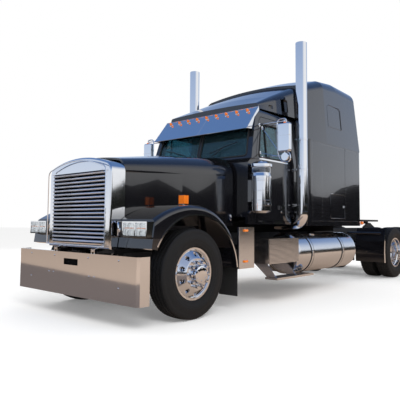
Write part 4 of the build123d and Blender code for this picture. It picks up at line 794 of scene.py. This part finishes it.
# Sleeper: panel seams, rivets, luggage door, roof panel outline and side lamps
def sleeper_trim(tag, side):
    """Trim of the sleeper's side, with the lamps on the cab's sill and on the panel behind the front wheel."""
    y = SLEEPER_HALF
    seams, heads, metal, yellow = Shape(), Shape(), Shape(), Shape()
    out = (0, side, 0)
    seams.box((at(-2.8), side * (y - 0.001), 1.178), (at(-4.54), side * (y + 0.002), 1.184))
    seams.box((at(-3.948), side * (y - 0.001), 1.184), (at(-3.952), side * (y + 0.002), 2.462))
    seams.box((at(-2.715), side * (y - 0.001), 2.461), (at(-4.545), side * (y + 0.003), 2.471))
    for x in (-2.78, -3.1, -3.97, -4.53):
        rivets(heads, line((at(x), side * y, 1.24), (at(x), side * y, 2.42), 20), out)
    for z in (1.16, 2.44):
        rivets(heads, line((at(-2.76), side * y, z), (at(-4.52), side * y, z), 34), out)
    # bead round the luggage door, its hinge and latch
    ring = [(-3.39, 1.21), (-3.39, 1.62), (-3.92, 1.62), (-3.92, 1.21)]
    ring = [Vector((at(a), side * (y + 0.001), b)) for a, b in ring]
    seams.tube(rounded_ring(ring, 0.03), 0.005, 6, closed=True)
    metal.box((at(-3.9), side * (y - 0.001), 1.39), (at(-3.865), side * (y + 0.009), 1.44))
    metal.box((at(-3.89), side * (y + 0.009), 1.4), (at(-3.875), side * (y + 0.016), 1.43))
    metal.box((at(-3.4), side * (y - 0.001), 1.625), (at(-3.91), side * (y + 0.007), 1.632))
    # raised panel on the side of the roof
    cap = [(-3.4, 2.79), (-3.4, 3.14), (-3.46, 3.18), (-3.84, 3.18), (-3.9, 3.14), (-3.9, 2.79)]
    points = []
    for a, b in cap:
        lean = (CAP_FOOT - CAP_SHOULDER) * (b - SEAM_Z) / (SHOULDER_Z - SEAM_Z)
        points.append(Vector((at(a), side * (CAP_FOOT - lean + 0.0005), b)))
    seams.tube(points, 0.005, 6, closed=True)
    # amber lamp on a stalk at the rear corner
    stalk = [(at(-4.48), side * 1.1, 1.1), (at(-4.56), side * 1.13, 1.095), (at(-4.62), side * 1.15, 1.12)]
    metal.tube(rounded(stalk, 0.03), 0.012, 10)
    yellow.lathe([(0, 0.0), (0.004, 0.02), (0.02, 0.03), (0.045, 0.03), (0.06, 0.02), (0.066, 0.0)],
                 (at(-4.66), side * 1.15, 1.135), (1, 0, 0), 20)
    # clear lamps on the cab's sill
    for low, high in ((-1.6, -1.54), (-2.06, -1.85)):
        metal.box((at(low), side * (CAB_HALF - 0.001), 1.107), (at(high), side * (CAB_HALF + 0.008), 1.147))
    # long amber lamps on the panel behind the front wheel
    for z in (0.622, 1.02):
        yellow.tube([(at(-0.962), side * 1.196, z), (at(-0.888), side * 1.196, z)], 0.017, 12)
    seams.make(f"sleeper_seams_{tag}", PAINT, "chassis", "body_black")
    heads.make(f"sleeper_rivets_{tag}", POLISHED, "chassis", "polished")
    metal.make(f"sleeper_metal_{tag}", CHROME, "chassis", "bright")
    yellow.make(f"side_lamps_{tag}", AMBER, "chassis", "amber")


both(sleeper_trim)


# Tanks, boxes and steps
def tank_trim(tag, side):
    """Trim of one side's tank, side box and step."""
    y, z = 0.909, 0.655
    rubber, metal, tread = Shape(), Shape(), Shape()
    length = 1.98
    for share in (0.2, 0.727):
        x = -2.24 - share * length
        for edge in (-0.0345, 0.0285):
            rubber.lathe([(0, 0.3112), (0.0005, 0.3195), (0.0055, 0.3195), (0.006, 0.3112)],
                         (at(x + edge), side * y, z), (1, 0, 0), 72)
        metal.box((at(x - 0.012), side * (y + 0.314), z - 0.04), (at(x + 0.012), side * (y + 0.325), z + 0.04))
    for x in (-2.3, -4.16):
        metal.lathe([(0, 0.3108), (0.003, 0.3122), (0.006, 0.3108)], (at(x), side * y, z), (1, 0, 0), 72)
    metal.lathe([(0, 0.06), (0.014, 0.06), (0.02, 0.05), (0.022, 0.0)], (at(-2.95), side * (y + 0.1), z + 0.292),
                (0, side * 0.32, 0.95), 28)
    metal.tube([(at(-2.95), side * (y + 0.075), z + 0.318), (at(-2.95), side * (y + 0.14), z + 0.3)], 0.008, 8)
    # ribs on the side box and a latch
    # A thin dark sheet behind the ribs: painted shade in the gaps between them.
    rubber.box((at(-1.425), side * 1.219, 0.566), (at(-2.205), side * 1.2208, 0.892))
    for n in range(19):
        low = 0.572 + n * 0.0168
        metal.box((at(-1.43), side * 1.219, low), (at(-2.2), side * 1.2235, low + 0.0105))
    metal.box((at(-1.8), side * 1.2235, 0.86), (at(-1.84), side * 1.23, 0.885))
    for n in range(6):
        for m in (-1, 1):
            x = -2.11 + (n - 2.5) * 0.165
            pad_y = side * (1.137 + m * 0.045)
            tread.box((at(x - 0.058), pad_y - 0.026, 0.342), (at(x + 0.058), pad_y + 0.026, 0.3485))
    tread.make(f"step_pads_{tag}", RUBBER, "chassis", "flap_rubber", smooth=False)
    rubber.make(f"strap_rubber_and_rib_shade_{tag}", RUBBER, "chassis", "flap_rubber")
    metal.make(f"tank_metal_{tag}", POLISHED, "chassis", "polished")


both(tank_trim)


# Rear: bright edges of the quarter fenders, and bolts on the flap bars
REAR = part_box("mudflaps")[0][0]


def rear_trim(tag, side):
    """Trim of one side's quarter fender and flap bar."""
    metal = Shape()
    path = arc((AXLE_R1 + 0.562, 1.035), (AXLE_R1 + 0.647, 0.7), (AXLE_R1 + 0.642, 0.345), 16)
    band(metal, path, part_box("quarter_fenders")[1][1] + 0.0005, 0.045, 0.004, side)
    rivets(metal, line((REAR, side * 0.65, 0.78), (REAR, side * 1.17, 0.78), 6), (-1, 0, 0), 0.011, 0.006)
    metal.make(f"quarter_edge_{tag}", CHROME, "chassis", "bright")


both(rear_trim)


# Painted shade: dark boxes that close the view under the cab and the sleeper, where shade falls
under = Shape()
for side in (-1, 1):
    under.box((at(-2.66), side * 0.62, 0.98), (at(-1.2), side * 0.63, 1.14))
    under.box((at(-4.5), side * 0.62, 0.98), (at(-2.66), side * 0.63, 1.085))
under.make("under_painted_shade", PAINTED_SHADE, "chassis", "frame_black", smooth=False)

# Camera, from the photograph

CAMERA_AT = (at(4.092), 4.951, 1.116)
CAMERA_YAW = radians(221.674)
CAMERA_PITCH = radians(3.802)
CAMERA_ROLL = radians(0.44)
FOCAL_PX = 478.9
CENTRE_PX = (205.1, 191.0)
IMAGE_PX = 400
SENSOR = 36

look = Vector((cos(CAMERA_YAW) * cos(CAMERA_PITCH), sin(CAMERA_YAW) * cos(CAMERA_PITCH), sin(CAMERA_PITCH)))
right = Vector((sin(CAMERA_YAW), -cos(CAMERA_YAW), 0))
up = right.cross(look)
right_r = right * cos(CAMERA_ROLL) + up * sin(CAMERA_ROLL)
up_r = up * cos(CAMERA_ROLL) - right * sin(CAMERA_ROLL)
camera_data = bpy.data.cameras.new("camera")
camera_data.sensor_width = SENSOR
camera_data.lens = FOCAL_PX / IMAGE_PX * SENSOR
camera_data.shift_x = (IMAGE_PX / 2 - CENTRE_PX[0]) / IMAGE_PX
camera_data.shift_y = (CENTRE_PX[1] - IMAGE_PX / 2) / IMAGE_PX
camera_data.clip_end = 200
camera = bpy.data.objects.new("camera", camera_data)
turn = Matrix((right_r, up_r, -look)).transposed().to_4x4()
camera.matrix_world = Matrix.Translation(CAMERA_AT) @ turn
bpy.context.scene.collection.objects.link(camera)
bpy.context.scene.camera = camera


# Stage

def stage_plane(name, centre, size, facing, mat, seen=True):
    """A flat card facing a point, for the floor or to be reflected."""
    shape = Shape()
    centre = Vector(centre)
    out = (Vector(facing) - centre).normalized()
    side = out.orthogonal().normalized() if abs(out.z) > 0.99 else Vector((0, 0, 1)).cross(out).normalized()
    rise = out.cross(side)
    w, h = size[0] / 2, size[1] / 2
    shape.add([centre + side * w * a + rise * h * b for a, b in ((-1, -1), (1, -1), (1, 1), (-1, 1))], [(0, 1, 2, 3)])
    obj = piece(name, shape.verts, shape.faces, mat, None, smooth=False)
    obj.visible_camera = seen
    return obj


def card_rays(obj):
    """Leaves a card to mirror-like rays alone, so that it neither lights nor shades anything."""
    obj.visible_camera = False
    obj.visible_diffuse = False
    obj.visible_transmission = False
    obj.visible_shadow = False


TAN = shader("ground_card", (0.56, 0.43, 0.345), 0, 1.0, Specular_IOR_Level=0.0)
WOODS = shader("woods_card", (0.012, 0.013, 0.012), 0, 1.0, Specular_IOR_Level=0.0)
# The floor looks near white to the camera and keeps the object's shadow
FLOOR = shader("floor", (0.93, 0.93, 0.93), 0, 0.9, Specular_IOR_Level=0.0, Emission_Color=(1, 1, 1, 1))
seen_floor = FLOOR.node_tree.nodes.new("ShaderNodeLightPath")
gain = FLOOR.node_tree.nodes.new("ShaderNodeMath")
gain.operation = "MULTIPLY"
gain.inputs[1].default_value = 0.16
FLOOR.node_tree.links.new(seen_floor.outputs["Is Camera Ray"], gain.inputs[0])
FLOOR.node_tree.links.new(gain.outputs[0], FLOOR.node_tree.nodes["Principled BSDF"].inputs["Emission Strength"])
stage_plane("floor", (0, 0, 0), (160, 160), (0, 0, 10), FLOOR)
# Ground that only mirrors see: tan, with a darker road ahead of the bumper
ground = stage_plane("ground_card", (0, 0, 0.002), (60, 60), (0, 0, 10), TAN)
card_rays(ground)
road = Shape()
road.add([(at(0.4), -9, 0.004), (at(4.4), -9, 0.004), (at(3.3), -1.6, 0.004), (at(3.3), 0.2, 0.004),
          (at(3.9), 3, 0.004), (at(3.4), 6, 0.004), (at(0.4), 6, 0.004)], [tuple(range(7))])
ROAD = shader("road_card", (0.2, 0.165, 0.155), 0, 1.0, Specular_IOR_Level=0.0)
road = piece("road_card", road.verts, road.faces, ROAD, None, smooth=False)
card_rays(road)

# a low dark skyline all round, for the paint and the bright metal to mirror
skyline = Shape()
STEPS = 180
SKYLINE_R = 26
for n in range(STEPS):
    turn = 2 * pi * n / STEPS
    tall = 0.5 - 0.5 * cos(turn - radians(-45))      # low ahead and to the right, tall behind and to the left
    rise = 0.6 + tall * (3.6 + 0.6 * sin(turn * 9) + 0.45 * sin(turn * 23 + 1) + 0.35 * sin(turn * 47 + 2))
    skyline.verts += [Vector((SKYLINE_R * cos(turn), SKYLINE_R * sin(turn), z)) for z in (0, rise)]
for n in range(STEPS):
    m = (n + 1) % STEPS
    skyline.faces.append([2 * n, 2 * m, 2 * m + 1, 2 * n + 1])
woods = piece("woods_card", skyline.verts, skyline.faces, WOODS, None, smooth=False)
card_rays(woods)

world = bpy.data.worlds.new("world")
bpy.context.scene.world = world
world.use_nodes = True
wt = world.node_tree
back = wt.nodes["Background"]
where = wt.nodes.new("ShaderNodeTexCoord")
split = wt.nodes.new("ShaderNodeSeparateXYZ")
ramp = wt.nodes.new("ShaderNodeValToRGB")
path = wt.nodes.new("ShaderNodeLightPath")
seen = wt.nodes.new("ShaderNodeMath")
seen.operation = "MAXIMUM"
wt.links.new(where.outputs["Generated"], split.inputs["Vector"])
wt.links.new(split.outputs["Z"], ramp.inputs["Fac"])
wt.links.new(path.outputs["Is Camera Ray"], seen.inputs[0])
wt.links.new(path.outputs["Is Transmission Ray"], seen.inputs[1])


def mix(factor, first, second):
    """A colour mix whose inputs are sockets or plain colours."""
    node = wt.nodes.new("ShaderNodeMix")
    node.data_type = "RGBA"
    wt.links.new(factor, node.inputs[0])
    for slot, value in ((6, first), (7, second)):
        if isinstance(value, tuple):
            node.inputs[slot].default_value = value
        else:
            wt.links.new(value, node.inputs[slot])
    return node.outputs[2]


SOFT = (0.8, 0.8, 0.8, 1)
WHITE = (1, 1, 1, 1)
HAZE = (0.93, 0.94, 0.96, 1)


def maths(kind, first, second):
    """A maths node on a socket and a socket or number."""
    node = wt.nodes.new("ShaderNodeMath")
    node.operation = kind
    wt.links.new(first, node.inputs[0])
    if isinstance(second, float):
        node.inputs[1].default_value = second
    else:
        wt.links.new(second, node.inputs[1])
    return node


# haze to the left and a little behind, where the evening light is
toward = maths("ADD", maths("MULTIPLY", split.outputs["X"], -0.35).outputs[0],
               maths("MULTIPLY", split.outputs["Y"], 0.94).outputs[0])
hazy = maths("MULTIPLY", maths("SUBTRACT", toward.outputs[0], 0.55).outputs[0], 3.0)
hazy.use_clamp = True
open_sky = mix(hazy.outputs[0], ramp.outputs["Color"], HAZE)
sky = mix(path.outputs["Is Glossy Ray"], SOFT, open_sky)
wt.links.new(mix(seen.outputs[0], sky, WHITE), back.inputs["Color"])
stops = ramp.color_ramp.elements
stops[0].position, stops[0].color = 0.0, (0.9, 0.91, 0.93, 1)
stops[1].position, stops[1].color = 1.0, (0.09, 0.18, 0.4, 1)
for position, colour in ((0.16, (0.56, 0.67, 0.86, 1)), (0.55, (0.13, 0.24, 0.5, 1))):
    stops.new(position).color = colour
back.inputs["Strength"].default_value = 1.0


def lamp(name, centre, target, size, watts):
    """A soft area lamp."""
    data = bpy.data.lights.new(name, "AREA")
    data.shape = "RECTANGLE"
    data.size, data.size_y = size
    data.energy = watts
    obj = bpy.data.objects.new(name, data)
    obj.location = centre
    obj.rotation_euler = (Vector(target) - Vector(centre)).to_track_quat("-Z", "Y").to_euler()
    obj.visible_glossy = False
    bpy.context.scene.collection.objects.link(obj)


lamp("key", (9, 9, 9), (1, 0, 1.5), (6, 5), 600)
lamp("fill", (-9, 9, 7), (-1, 0, 1.5), (6, 5), 300)
lamp("rim", (-3, -10, 8), (0, 0, 2), (7, 4), 300)
bpy.context.scene.view_settings.view_transform = "Standard"
